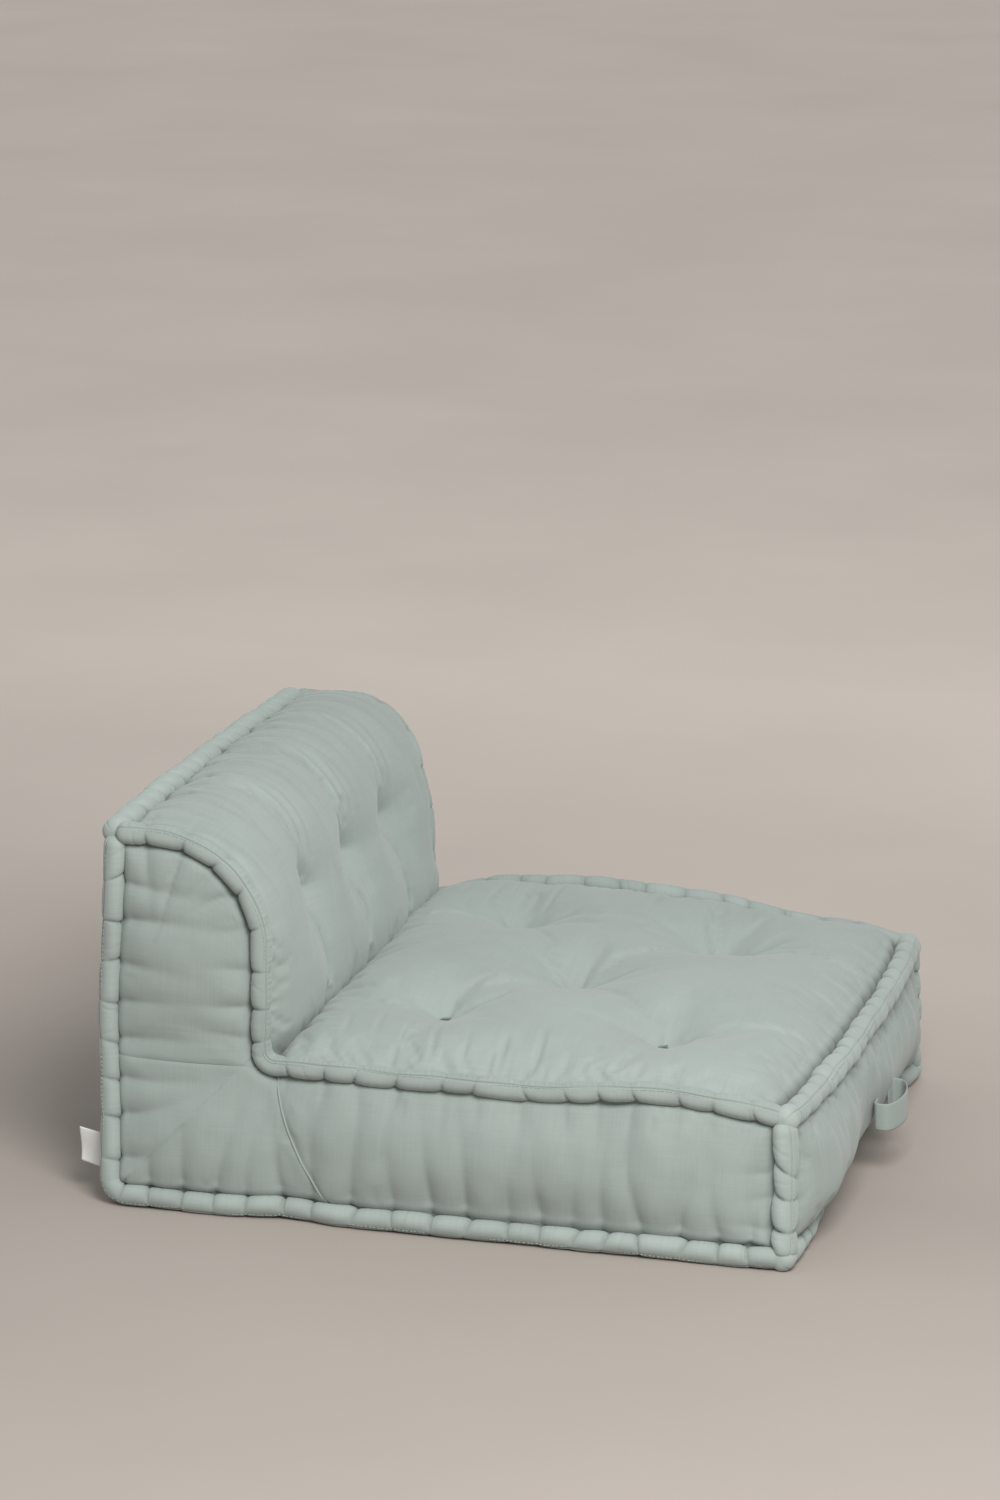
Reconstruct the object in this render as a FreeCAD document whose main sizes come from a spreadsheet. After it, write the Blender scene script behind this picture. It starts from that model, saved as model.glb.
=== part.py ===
import FreeCAD, Part
import math
import os
import Sketcher

# Modular floor-sofa unit: one seat cushion and one low back cushion under a single sewn cover.
# X runs across the seat, -Y is the front, Z is up and z = 0 is the floor.

# Driving sizes in millimetres
SIZES = (
    ("width", 850, "across the seat, over the edge rolls"),
    ("depth", 990, "front to rear, over the edge rolls"),
    ("seat_height", 230, "floor to the crest of the seat rolls"),
    ("back_height", 550, "floor to the crest of the rear top roll"),
    ("back_depth", 245, "crease between seat and back to the rear"),
    ("shoulder_radius", 165, "round from the back's top into its front"),
    ("roll_diameter", 30, "stitched edge roll at its fullest"),
    ("roll_pitch", 50, "spacing of the stitches that pinch the rolls"),
    ("roll_pinch", 2.6, "how far a stitch draws the roll in"),
    ("roll_end_round", 6, "round on the free ends of the cross rolls"),
    ("fabric", 2, "quilted cover thickness"),
    ("clearance", 0.3, "gap left between sewn pieces"),
    ("edge_rise", 5, "cover standing proud of the roll centres at its edges"),
    ("edge_crown", 3, "crown left along the short ends of a panel"),
    ("seat_crown", 72, "crown of the seat above its rim"),
    ("seat_shoulder", 90, "run over which the seat rises from its rolls"),
    ("side_bulge", 31, "bulge of the lower side panels"),
    ("upper_bulge", 14, "bulge of the upper side panels"),
    ("front_bulge", 30, "bulge of the front panel"),
    ("rear_bulge", 36, "bulge of the rear panel"),
    ("back_crown", 24, "crown of the back's front and top"),
    ("pad_reach", 60, "depth of the pad behind a cover panel"),
    ("tuft_x", 230, "seat tufts off the centre line"),
    ("tuft_y", 163, "seat tuft rows off the centre tuft"),
    ("tuft_centre_y", 100, "centre tuft forward of mid depth"),
    ("tuft_depth", 42, "how deep a seat tuft pulls the cover"),
    ("tuft_radius", 85, "reach of a seat tuft"),
    ("tuft_floor", 8, "radius of the cover under the tie"),
    ("back_tuft_x", 200, "back tufts off the centre line"),
    ("back_tuft_z", 415, "height of the back tufts"),
    ("back_tuft_depth", 22, "how deep a back tuft pulls the cover"),
    ("back_tuft_radius", 62, "reach of a back tuft"),
    ("rear_tuft_depth", 20, "how deep the tuft pulls the rear panel"),
    ("rear_tuft_radius", 45, "reach of a tuft on the rear panel"),
    ("under_tuft_depth", 9, "how deep the tuft pulls the underside"),
    ("under_tuft_radius", 42, "reach of a tuft on the underside"),
    ("cord_diameter", 3, "tuft cord"),
    ("tie_diameter", 4, "knotted tie across the cord end"),
    ("tie_length", 13, "length of the knotted tie"),
    ("seam_run", 70, "forward run of the side seam from crease to floor"),
    ("strap_width", 40, "carry strap webbing width"),
    ("strap_thickness", 2.6, "carry strap webbing thickness"),
    ("handle_x", 30, "middle of the carry handle off the centre line"),
    ("handle_height", 95, "middle of the carry handle above the floor"),
    ("handle_span", 125, "between the sewn ends of the handle"),
    ("handle_reach", 42, "handle loop out from the front panel"),
    ("tab_length", 24, "folded strap end sewn to the panel"),
    ("tab_thickness", 4.6, "folded strap end with its stitching"),
    ("swing_gap", 0.5, "room for the loop to swing past its sewn ends"),
    ("label_length", 42, "blank sewn-in label, out of the seam"),
    ("label_height", 52, "blank sewn-in label, along the seam"),
    ("label_base", 43, "label above the floor"),
    ("label_thickness", 0.8, "folded label"),
)

V = FreeCAD.Vector
doc = FreeCAD.newDocument("sofa_module")
sheet = doc.addObject("Spreadsheet::Sheet", "params")
for row, (alias, amount, note) in enumerate(SIZES, 1):
    sheet.set("A%d" % row, alias)
    sheet.set("B%d" % row, str(amount))
    sheet.set("C%d" % row, note)
    sheet.setAlias("B%d" % row, alias)
doc.recompute()


class Term:
    """A length with its present value and the expression that keeps it tied to the sheet."""

    def __init__(self, value, text):
        self.value = value
        self.text = text

    def __add__(self, other):
        other = term(other)
        return Term(self.value + other.value, "(%s + %s)" % (self.text, other.text))

    def __sub__(self, other):
        other = term(other)
        return Term(self.value - other.value, "(%s - %s)" % (self.text, other.text))

    def __rsub__(self, other):
        return term(other) - self

    def __mul__(self, other):
        other = term(other)
        return Term(self.value * other.value, "(%s * %s)" % (self.text, other.text))

    def __truediv__(self, other):
        other = term(other)
        return Term(self.value / other.value, "(%s / %s)" % (self.text, other.text))

    def __neg__(self):
        return Term(-self.value, "(0 - %s)" % self.text)

    __radd__ = __add__
    __rmul__ = __mul__


def term(item):
    if isinstance(item, Term):
        return item
    return Term(float(item), "(%.6f)" % item)


def size(alias):
    return Term(float(sheet.get(alias)), "params." + alias)


def tie(thing, slot, amount):
    thing.setExpression(slot, term(amount).text)


def place(thing, base, rotation=FreeCAD.Rotation()):
    thing.Placement = FreeCAD.Placement(V(*[term(part).value for part in base]), rotation)
    for axis, part in zip("xyz", base):
        tie(thing, "Placement.Base." + axis, part)


width = size("width")
depth = size("depth")
seat_height = size("seat_height")
back_height = size("back_height")
shoulder = size("shoulder_radius")
roll = size("roll_diameter") / 2
fabric = size("fabric")
gap = size("clearance")
rise = size("edge_rise")
edge_crown = size("edge_crown")
pad_reach = size("pad_reach")
cord = size("cord_diameter") / 2
strap = size("strap_width")

# Centre lines of the edge rolls
edge_x = width / 2 - roll
front_line = roll - depth / 2
rear_line = depth / 2 - roll
seat_line = seat_height - roll
top_line = back_height - roll
crease_y = depth / 2 - size("back_depth")
profile_y = crease_y + roll
arc_y = crease_y + shoulder
arc_z = back_height - shoulder
arc_radius = shoulder - roll

# Edges of the cover panels
seat_rim = seat_line + rise
face_x = edge_x + rise
front_face = front_line - rise
rear_face = rear_line + rise
back_face = profile_y - rise
tuck_y = back_face + fabric

TURN = {
    "x": FreeCAD.Rotation(),
    "y": FreeCAD.Rotation(V(0, 0, 1), 90),
    "z": FreeCAD.Rotation(V(0, 1, 0), -90),
}
nodes = {}


def keep(label, thing):
    thing.Label = label
    nodes[label] = thing
    return thing


# Sketches and the features made from them
def arc_through(start, middle, stop):
    """The arc from start over middle to stop, and whether it runs anticlockwise."""
    (ax, ay), (bx, by), (cx, cy) = start, middle, stop
    d = 2 * (ax * (by - cy) + bx * (cy - ay) + cx * (ay - by))
    sa = ax * ax + ay * ay
    sb = bx * bx + by * by
    sc = cx * cx + cy * cy
    ox = (sa * (by - cy) + sb * (cy - ay) + sc * (ay - by)) / d
    oy = (sa * (cx - bx) + sb * (ax - cx) + sc * (bx - ax)) / d
    forward = (bx - ax) * (cy - ay) - (by - ay) * (cx - ax) > 0
    first = math.atan2(ay - oy, ax - ox)
    last = math.atan2(cy - oy, cx - ox)
    if not forward:
        first, last = last, first
    if last < first:
        last += 2 * math.pi
    circle = Part.Circle(V(ox, oy, 0), V(0, 0, 1), math.hypot(ax - ox, ay - oy))
    return Part.ArcOfCircle(circle, first, last), forward


def pin(sketch, piece, end, point):
    """Fix one point of a sketch at a place tied to the sheet."""
    for kind, amount in zip(("DistanceX", "DistanceY"), point):
        rule = Sketcher.Constraint(kind, -1, 1, piece, end, term(amount).value)
        number = sketch.addConstraint(rule)
        tie(sketch, "Constraints[%d]" % number, amount)


def blank_sketch(body, name, role, offset):
    sketch = body.newObject("Sketcher::SketchObject", name)
    plane = [each for each in body.Origin.OriginFeatures if each.Role == role][0]
    sketch.AttachmentSupport = [(plane, "")]
    sketch.MapMode = "FlatFace"
    for axis, part in zip("xyz", offset):
        tie(sketch, "AttachmentOffset.Base." + axis, part)
    return sketch


def outline(body, name, role, offset, corners):
    """A closed outline: (corner, None) runs straight on, (corner, point) arcs through the point."""
    sketch = blank_sketch(body, name, role, offset)
    count = len(corners)
    spots = [tuple(term(part).value for part in corner) for corner, _ in corners]
    ends = []
    for number, (_, middle) in enumerate(corners):
        start = spots[number]
        stop = spots[(number + 1) % count]
        if middle is None:
            sketch.addGeometry(Part.LineSegment(V(*start, 0), V(*stop, 0)), False)
            ends.append((1, 2))
            continue
        arc, forward = arc_through(start, tuple(term(part).value for part in middle), stop)
        sketch.addGeometry(arc, False)
        ends.append((1, 2) if forward else (2, 1))
    for number, (corner, middle) in enumerate(corners):
        after = (number + 1) % count
        pin(sketch, number, ends[number][0], corner)
        sketch.addConstraint(
            Sketcher.Constraint("Coincident", number, ends[number][1], after, ends[after][0])
        )
        if middle is not None:
            spot = V(*[term(part).value for part in middle], 0)
            point = sketch.addGeometry(Part.Point(spot), True)
            pin(sketch, point, 1, middle)
            sketch.addConstraint(Sketcher.Constraint("PointOnObject", point, 1, number))
    return sketch


def lofted(name, role, stations):
    """A body lofted through outlines; each station gives its offset along the plane's normal."""
    body = doc.addObject("PartDesign::Body", name)
    sketches = []
    for number, (offset, corners) in enumerate(stations):
        label = "%s_section_%d" % (name, number)
        sketches.append(outline(body, label, role, (0, 0, offset), corners))
    loft = body.newObject("PartDesign::AdditiveLoft", name + "_loft")
    loft.Profile = sketches[0]
    loft.Sections = sketches[1:]
    body.Tip = loft
    return body


def padded(name, role, offset, corners, length):
    body = doc.addObject("PartDesign::Body", name)
    sketch = outline(body, name + "_outline", role, (0, 0, offset), corners)
    pad = body.newObject("PartDesign::Pad", name + "_pad")
    pad.Profile = sketch
    tie(pad, "Length", length)
    body.Tip = pad
    return body


def cut(base, tools, label):
    """Take every tool away from the base in turn and keep the last as the named piece."""
    for number, tool in enumerate(tools):
        piece = doc.addObject("Part::Cut", "%s_cut_%d" % (label, number))
        piece.Base = base
        piece.Tool = tool
        base = piece
    return keep(label, base)


def mirrored(source, label):
    twin = doc.addObject("Part::Mirroring", label)
    twin.Source = source
    twin.Normal = V(1, 0, 0)
    return twin


# Pinched edge rolls and the tubes that clear them
def bead_roll(name, axis, start, length, rounded=False):
    """A row of stuffed beads: one revolved arc, repeated along the roll."""
    count = max(1, round(length.value / size("roll_pitch").value))
    bead = length / count
    waist = roll - size("roll_pinch")
    corners = [((0, 0), None), ((bead, 0), None), ((bead, waist), (bead / 2, roll)), ((0, waist), None)]
    body = doc.addObject("PartDesign::Body", name)
    sketch = outline(body, name + "_bead", "XY_Plane", (0, 0, 0), corners)
    feature = body.newObject("PartDesign::Revolution", name + "_turn")
    feature.Profile = sketch
    feature.ReferenceAxis = (sketch, ["H_Axis"])
    feature.Angle = 360
    body.Tip = feature
    doc.recompute()
    if count > 1:
        pattern = body.newObject("PartDesign::LinearPattern", name + "_row")
        pattern.Originals = [feature]
        pattern.Direction = (sketch, ["H_Axis"])
        tie(pattern, "Length", bead * (count - 1))
        pattern.Occurrences = count
        body.Tip = pattern
        feature = pattern
        doc.recompute()
    if rounded:
        rims = []
        for number, edge in enumerate(feature.Shape.Edges, 1):
            if not isinstance(edge.Curve, Part.Circle):
                continue
            along = edge.Curve.Center.x
            if min(abs(along), abs(along - length.value)) < 1e-4:
                rims.append("Edge%d" % number)
        fillet = body.newObject("PartDesign::Fillet", name + "_ends")
        fillet.Base = (feature, rims)
        tie(fillet, "Radius", size("roll_end_round"))
        body.Tip = fillet
    place(body, start, TURN[axis])
    return body


def tube(name, axis, start, length):
    piece = doc.addObject("Part::Cylinder", name)
    tie(piece, "Radius", roll + gap)
    tie(piece, "Height", length)
    lean = {"x": FreeCAD.Rotation(V(0, 1, 0), 90), "y": FreeCAD.Rotation(V(1, 0, 0), -90)}
    place(piece, start, lean.get(axis, FreeCAD.Rotation()))
    return piece


cross = {
    "front_top": (front_line, seat_line),
    "front_bottom": (front_line, roll),
    "rear_bottom": (rear_line, roll),
    "rear_top": (rear_line, top_line),
}
tubes = {}
for name, (y, z) in cross.items():
    start = (-(width / 2), y, z)
    keep(name + "_roll", bead_roll(name + "_roll", "x", start, width, True))
    tubes[name] = tube(name + "_tube", "x", (-(width / 2) - roll, y, z), width + 2 * roll)

for side, sign in (("left", -1), ("right", 1)):
    x = sign * edge_x
    runs = {
        "seat_top": ("y", (x, front_line, seat_line), profile_y + roll + gap - front_line),
        "bottom": ("y", (x, front_line, roll), rear_line - front_line),
        "front_corner": ("z", (x, front_line, roll), seat_line - roll),
        "rear_corner": ("z", (x, rear_line, roll), top_line - roll),
        "top_run": ("y", (x, arc_y, top_line), rear_line - arc_y),
        "upright": ("z", (x, profile_y, seat_line), arc_z - seat_line),
    }
    for name, (axis, start, length) in runs.items():
        tubes[side + "_" + name] = tube("%s_%s_tube" % (side, name), axis, start, length)
    bend = doc.addObject("Part::Torus", side + "_bend_tube")
    tie(bend, "Radius1", arc_radius)
    tie(bend, "Radius2", roll + gap)
    bend.Angle3 = 90
    place(bend, (x, arc_y, arc_z), FreeCAD.Rotation(V(0, 0, 1), V(0, -1, 0), V(1, 0, 0), "XYZ"))
    tubes[side + "_bend"] = bend

x = -edge_x
seat_roll = bead_roll("seat_top_beads", "y", (x, front_line, seat_line), profile_y + roll - front_line)
bottom_roll = bead_roll("bottom_beads", "y", (x, front_line, roll), rear_line - front_line)
front_post = bead_roll("front_corner_beads", "z", (x, front_line, roll), seat_line - roll)
rear_post = bead_roll("rear_corner_beads", "z", (x, rear_line, roll), top_line - roll)
top_run = bead_roll("top_run_beads", "y", (x, arc_y, top_line), rear_line - arc_y)
upright = bead_roll("upright_beads", "z", (x, profile_y, seat_line), arc_z - seat_line)


def shoulder_ring(body, name, angle, radius):
    """A round section of the back roll, turned forward about the shoulder's axis."""
    sketch = blank_sketch(body, name, "XZ_Plane", ())
    sketch.AttachmentOffset = FreeCAD.Placement(V(), FreeCAD.Rotation(V(1, 0, 0), angle))
    sketch.addGeometry(Part.Circle(V(0, arc_radius.value, 0), V(0, 0, 1), radius.value), False)
    pin(sketch, 0, 3, (0, arc_radius))
    number = sketch.addConstraint(Sketcher.Constraint("Radius", 0, radius.value))
    tie(sketch, "Constraints[%d]" % number, radius)
    return sketch


def shoulder_beads(name):
    count = max(2, round(math.pi / 2 * arc_radius.value / size("roll_pitch").value))
    waist = roll - size("roll_pinch")
    step = 90 / count
    body = doc.addObject("PartDesign::Body", name)
    rings = [
        shoulder_ring(body, name + "_ring_0", 0, waist),
        shoulder_ring(body, name + "_ring_1", step / 2, roll),
        shoulder_ring(body, name + "_ring_2", step, waist),
    ]
    loft = body.newObject("PartDesign::AdditiveLoft", name + "_bead")
    loft.Profile = rings[0]
    loft.Sections = rings[1:]
    body.Tip = loft
    doc.recompute()
    pattern = body.newObject("PartDesign::PolarPattern", name + "_row")
    pattern.Originals = [loft]
    pattern.Axis = (rings[0], ["H_Axis"])
    pattern.Angle = step * (count - 1)
    pattern.Occurrences = count
    body.Tip = pattern
    place(body, (x, arc_y, arc_z))
    return body


profile = doc.addObject("Part::MultiFuse", "back_profile_beads")
profile.Shapes = [top_run, shoulder_beads("shoulder_beads"), upright]

left_rolls = {
    "seat_top_roll": (seat_roll, ("front_top",)),
    "bottom_roll": (bottom_roll, ("front_bottom", "rear_bottom")),
    "front_corner_roll": (front_post, ("front_top", "front_bottom", "left_seat_top", "left_bottom")),
    "rear_corner_roll": (rear_post, ("rear_top", "rear_bottom", "left_bottom", "left_top_run")),
    "back_profile_roll": (profile, ("rear_top", "left_seat_top")),
}
for name, (beads, around) in left_rolls.items():
    left = cut(beads, [tubes[each] for each in around], "left_" + name)
    keep("right_" + name, mirrored(left, "right_" + name))


# Pads: crowned solids that the cover panels and the fillings are cut from
KNEE = 0.75  # share of the crown reached where the seat's shoulder ends
BEND_RUN = 0.42  # share of that shoulder's run at the middle of its bend
BEND_LIFT = 0.47  # share of the crown at the middle of the bend
HALFWAY = 0.75  # share of the crown halfway along a run that ends level with the crown
SLANT = math.sqrt(0.5)


def seat_section(crown, inset, low):
    run = size("seat_shoulder")
    rim = seat_rim - inset
    knee = rim + crown * KNEE
    bend = (edge_x - run * BEND_RUN, rim + crown * BEND_LIFT)
    return [
        ((-edge_x, low), None),
        ((edge_x, low), None),
        ((edge_x, rim), bend),
        ((edge_x - run, knee), (0, rim + crown)),
        ((run - edge_x, knee), (-bend[0], bend[1])),
        ((-edge_x, rim), None),
    ]


def seat_pad(name, inset, stop, low):
    """The crowned seat from the front rolls back to stop; inset lowers its top."""
    run = size("seat_shoulder")
    crown = size("seat_crown")
    steps = (
        (front_line, edge_crown),
        (front_line + run, crown * KNEE),
        ((front_line + stop) / 2, crown),
        (stop - run, crown * KNEE),
        (stop, edge_crown),
    )
    stations = [(-y, seat_section(height, inset, low)) for y, height in steps]
    return lofted(name, "XZ_Plane", stations)


def back_section(crown, inset, low):
    ring = arc_radius + rise + crown - inset
    top = top_line + rise - inset
    front = back_face + inset
    return [
        ((rear_line, low), None),
        ((rear_line, top), ((rear_line + arc_y) / 2, top + crown * HALFWAY)),
        ((arc_y, arc_z + ring), (arc_y - ring * SLANT, arc_z + ring * SLANT)),
        ((arc_y - ring, arc_z), (front - crown * HALFWAY, (arc_z + seat_rim) / 2)),
        ((front, seat_rim), None),
        ((front, low), None),
    ]


def back_pad(name, inset, low):
    """The back's rounded block from low up; inset lowers its top and front."""
    steps = ((-edge_x, edge_crown), (term(0), size("back_crown")), (edge_x, edge_crown))
    stations = [(at, back_section(crown, inset, low)) for at, crown in steps]
    return lofted(name, "YZ_Plane", stations)


def upright_pad(name, face, out, low, high, crown, inset):
    """A pad behind the front or rear panel; out is -1 for the front and 1 for the rear."""
    stations = []
    for at, height in ((-edge_x, edge_crown), (term(0), crown), (edge_x, edge_crown)):
        skin = face - out * inset
        back = face - out * pad_reach
        middle = (skin + out * height, (low + high) / 2)
        corners = [((back, low), None), ((skin, low), middle), ((skin, high), None), ((back, high), None)]
        stations.append((at, corners))
    return lofted(name, "YZ_Plane", stations)


def side_pad(name, role, steps, low, high, inset):
    """A pad behind a left side panel; each step gives its offset and its crown."""
    stations = []
    for at, crown in steps:
        skin = inset - face_x
        back = pad_reach - face_x
        middle = (skin - crown, (low + high) / 2)
        corners = [((back, low), None), ((back, high), None), ((skin, high), middle), ((skin, low), None)]
        stations.append((at, corners))
    return lofted(name, role, stations)


BRIM = 1.25  # height of a dimple's brim over its depth
LIP_RUN = 0.4  # share of a dimple's reach at the middle of its wall
LIP_LIFT = 0.72  # share of its depth there


def tuft(body, name, role, offset, out, floor, deep, shape, grow):
    """Sew one tuft: a trumpet-shaped dimple with the cord's bore, turned about the cord."""
    pull, reach = shape
    base = floor - grow * out
    bore = cord + gap
    brim = base + pull * BRIM * out
    cap = base + (pull + pad_reach) * out
    middle = (reach * LIP_RUN + grow, base + pull * LIP_LIFT * out)
    corners = [
        ((0, deep), None),
        ((bore, deep), None),
        ((bore, base), None),
        ((size("tuft_floor") + grow, base), middle),
        ((reach + grow, brim), None),
        ((reach + grow, cap), None),
        ((0, cap), None),
    ]
    sketch = outline(body, name + "_outline", role, offset, corners)
    groove = body.newObject("PartDesign::Groove", name)
    groove.Profile = sketch
    groove.ReferenceAxis = (sketch, ["V_Axis"])
    groove.Angle = 360
    body.Tip = groove


# Where the tufts sit and how deep their floors lie
seat_tufts = [(term(0), -size("tuft_centre_y"))]
for across in (-1, 1):
    for along in (-1, 1):
        spot = (across * size("tuft_x"), along * size("tuft_y") - size("tuft_centre_y"))
        seat_tufts.append(spot)
back_tufts = [across * size("back_tuft_x") for across in (-1, 0, 1)]

seat_middle = (front_line + tuck_y) / 2
seat_half = (tuck_y - front_line) / 2 - size("seat_shoulder")
seat_shape = (size("tuft_depth"), size("tuft_radius"))
back_shape = (size("back_tuft_depth"), size("back_tuft_radius"))
rear_shape = (size("rear_tuft_depth"), size("rear_tuft_radius"))
under_shape = (size("under_tuft_depth"), size("under_tuft_radius"))


def seat_floor(spot):
    across = spot[0] / (edge_x - size("seat_shoulder"))
    along = (spot[1] - seat_middle) / seat_half
    share = (1 - across * across * (1 - KNEE)) * (1 - along * along * (1 - KNEE))
    return seat_rim + size("seat_crown") * share - size("tuft_depth")


def bow(across, crown):
    share = across / edge_x
    return edge_crown + (crown - edge_crown) * (1 - share * share)


def back_floor(across):
    ring = arc_radius + rise + bow(across, size("back_crown"))
    lift = (size("back_tuft_z") - arc_z) / ring
    return arc_y - ring * (1 - lift * lift * 0.5) + size("back_tuft_depth")


def rear_floor(across):
    middle = (roll + top_line) / 2
    share = (size("back_tuft_z") - middle) / (top_line - middle)
    return rear_face + bow(across, size("rear_bulge")) * (1 - share * share) - size("rear_tuft_depth")


def sew_seat(body, grow):
    for number, spot in enumerate(seat_tufts):
        offset = (spot[0], 0, -spot[1])
        label = "%s_tuft_%d" % (body.Name, number)
        tuft(body, label, "XZ_Plane", offset, 1, seat_floor(spot), term(-5), seat_shape, grow)
    return body


def sew_under(body, grow):
    for number, spot in enumerate(seat_tufts):
        offset = (spot[0], 0, -spot[1])
        label = "%s_under_%d" % (body.Name, number)
        deep = pad_reach + 5
        tuft(body, label, "XZ_Plane", offset, -1, size("under_tuft_depth"), deep, under_shape, grow)
    return body


def sew_back(body, grow):
    for number, across in enumerate(back_tufts):
        offset = (across, 0, size("back_tuft_z"))
        label = "%s_tuft_%d" % (body.Name, number)
        deep = depth / 2 + roll
        tuft(body, label, "XY_Plane", offset, -1, back_floor(across), deep, back_shape, grow)
    return body


def sew_rear(body, grow):
    for number, across in enumerate(back_tufts):
        offset = (across, 0, size("back_tuft_z"))
        label = "%s_rear_%d" % (body.Name, number)
        deep = rear_face - pad_reach - 5
        tuft(body, label, "XY_Plane", offset, 1, rear_floor(across), deep, rear_shape, grow)
    return body


def both(*names):
    return [tubes["%s_%s" % (side, name)] for name in names for side in ("left", "right")]


def skin(label, outer, inner, around):
    return cut(outer, [inner] + around, label)


# Seat cover panel over the seat filling
under_seat = seat_rim - pad_reach
outer = sew_seat(seat_pad("seat_cover", term(0), tuck_y, under_seat), 0)
inner = sew_seat(seat_pad("seat_lining", fabric, tuck_y, under_seat), fabric)
skin("seat_top_panel", outer, inner, [tubes["front_top"]] + both("seat_top", "upright"))

lining = fabric + gap
stuffed = sew_seat(seat_pad("seat_stuffing", lining, tuck_y, lining), lining)
sew_under(stuffed, lining)
around = [tubes["front_top"], tubes["front_bottom"]] + both("seat_top", "bottom", "front_corner", "upright")
cut(stuffed, around, "seat_filling")

# Back cover panel over the back filling
seat_clear = seat_pad("seat_room", -gap, tuck_y + 2 * gap, under_seat)
low = seat_rim - roll
outer = sew_back(back_pad("back_cover", term(0), low), 0)
inner = sew_back(back_pad("back_lining", fabric, low), fabric)
around = [tubes["rear_top"], seat_clear] + both("top_run", "bend", "upright", "seat_top")
skin("back_front_panel", outer, inner, around)

stuffed = sew_back(back_pad("back_stuffing", lining, lining), lining)
sew_rear(stuffed, lining)
around = [tubes["rear_top"], tubes["rear_bottom"], seat_clear]
around += both("top_run", "bend", "upright", "seat_top", "bottom", "rear_corner")
cut(stuffed, around, "back_filling")

# Front, rear and underside panels
bulge = size("front_bulge")
outer = upright_pad("front_cover", front_face, -1, roll, seat_line, bulge, term(0))
inner = upright_pad("front_lining", front_face, -1, roll, seat_line, bulge, fabric)
around = [tubes["front_top"], tubes["front_bottom"]] + both("front_corner")
skin("front_panel", outer, inner, around)

bulge = size("rear_bulge")
outer = sew_rear(upright_pad("rear_cover", rear_face, 1, roll, top_line, bulge, term(0)), 0)
inner = sew_rear(upright_pad("rear_lining", rear_face, 1, roll, top_line, bulge, fabric), fabric)
around = [tubes["rear_top"], tubes["rear_bottom"]] + both("rear_corner")
skin("rear_panel", outer, inner, around)

plan = [((-edge_x, front_line), None), ((edge_x, front_line), None)]
plan += [((edge_x, rear_line), None), ((-edge_x, rear_line), None)]
outer = sew_under(padded("under_cover", "XY_Plane", term(0), plan, pad_reach), 0)
inner = sew_under(padded("under_lining", "XY_Plane", fabric, plan, pad_reach - fabric), fabric)
around = [tubes["front_bottom"], tubes["rear_bottom"]] + both("bottom")
skin("bottom_panel", outer, inner, around)

# Side panels: seat side, lower rear side and upper back side, parted by plain seams
bulge = size("side_bulge")
steps = ((-front_line, edge_crown), (term(0), bulge), (-rear_line, edge_crown))
outer = side_pad("side_cover", "XZ_Plane", steps, roll, seat_line, term(0))
inner = side_pad("side_lining", "XZ_Plane", steps, roll, seat_line, fabric)
around = [tubes["left_" + name] for name in ("seat_top", "bottom", "front_corner", "rear_corner")]
lower = skin("left_lower_side", outer, inner, around)
nodes.pop("left_lower_side")


def seam_block(name, shift):
    """Everything behind the curved side seam that runs from the crease to the floor."""
    head = crease_y + shift
    foot = head - size("seam_run")
    middle = (head - size("seam_run") * 0.42, seat_line / 2)
    corners = [
        ((foot, -roll), middle),
        ((head, seat_height), None),
        ((depth / 2 + roll, seat_height), None),
        ((depth / 2 + roll, -roll), None),
    ]
    return padded(name, "YZ_Plane", -(width / 2) - pad_reach, corners, 2 * pad_reach)


left = cut(lower, [seam_block("seam_front", -(gap / 2))], "left_seat_side_panel")
keep("right_seat_side_panel", mirrored(left, "right_seat_side_panel"))
left = doc.addObject("Part::Common", "left_rear_side")
left.Base = lower
left.Tool = seam_block("seam_rear", gap / 2)
keep("left_rear_side_panel", left)
keep("right_rear_side_panel", mirrored(left, "right_rear_side_panel"))

bulge = size("upper_bulge")
upper_low = seat_line + gap
steps = ((upper_low, edge_crown), ((upper_low + top_line) / 2, bulge), (top_line, edge_crown))
outer = side_pad("upper_cover", "XY_Plane", steps, profile_y, rear_line, term(0))
inner = side_pad("upper_lining", "XY_Plane", steps, profile_y, rear_line, fabric)
around = [tubes["left_" + name] for name in ("rear_corner", "top_run", "bend", "upright", "seat_top")]
sheet_cut = skin("left_upper_side", outer, inner, around)
nodes.pop("left_upper_side")
corners = [
    ((profile_y, upper_low), None),
    ((rear_line, upper_low), None),
    ((rear_line, top_line), None),
    ((arc_y, top_line), (arc_y - arc_radius * SLANT, arc_z + arc_radius * SLANT)),
    ((profile_y, arc_z), None),
]
left = doc.addObject("Part::Common", "left_back_side")
left.Base = sheet_cut
left.Tool = padded("upper_outline", "YZ_Plane", -(width / 2) - pad_reach, corners, 2 * pad_reach)
keep("left_back_side_panel", left)
keep("right_back_side_panel", mirrored(left, "right_back_side_panel"))


# Tuft cords with a knotted tie at each end
def round_bar(name, radius, length, base, rotation):
    bar = doc.addObject("Part::Cylinder", name)
    tie(bar, "Radius", radius)
    tie(bar, "Height", length)
    place(bar, base, rotation)
    return bar


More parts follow.
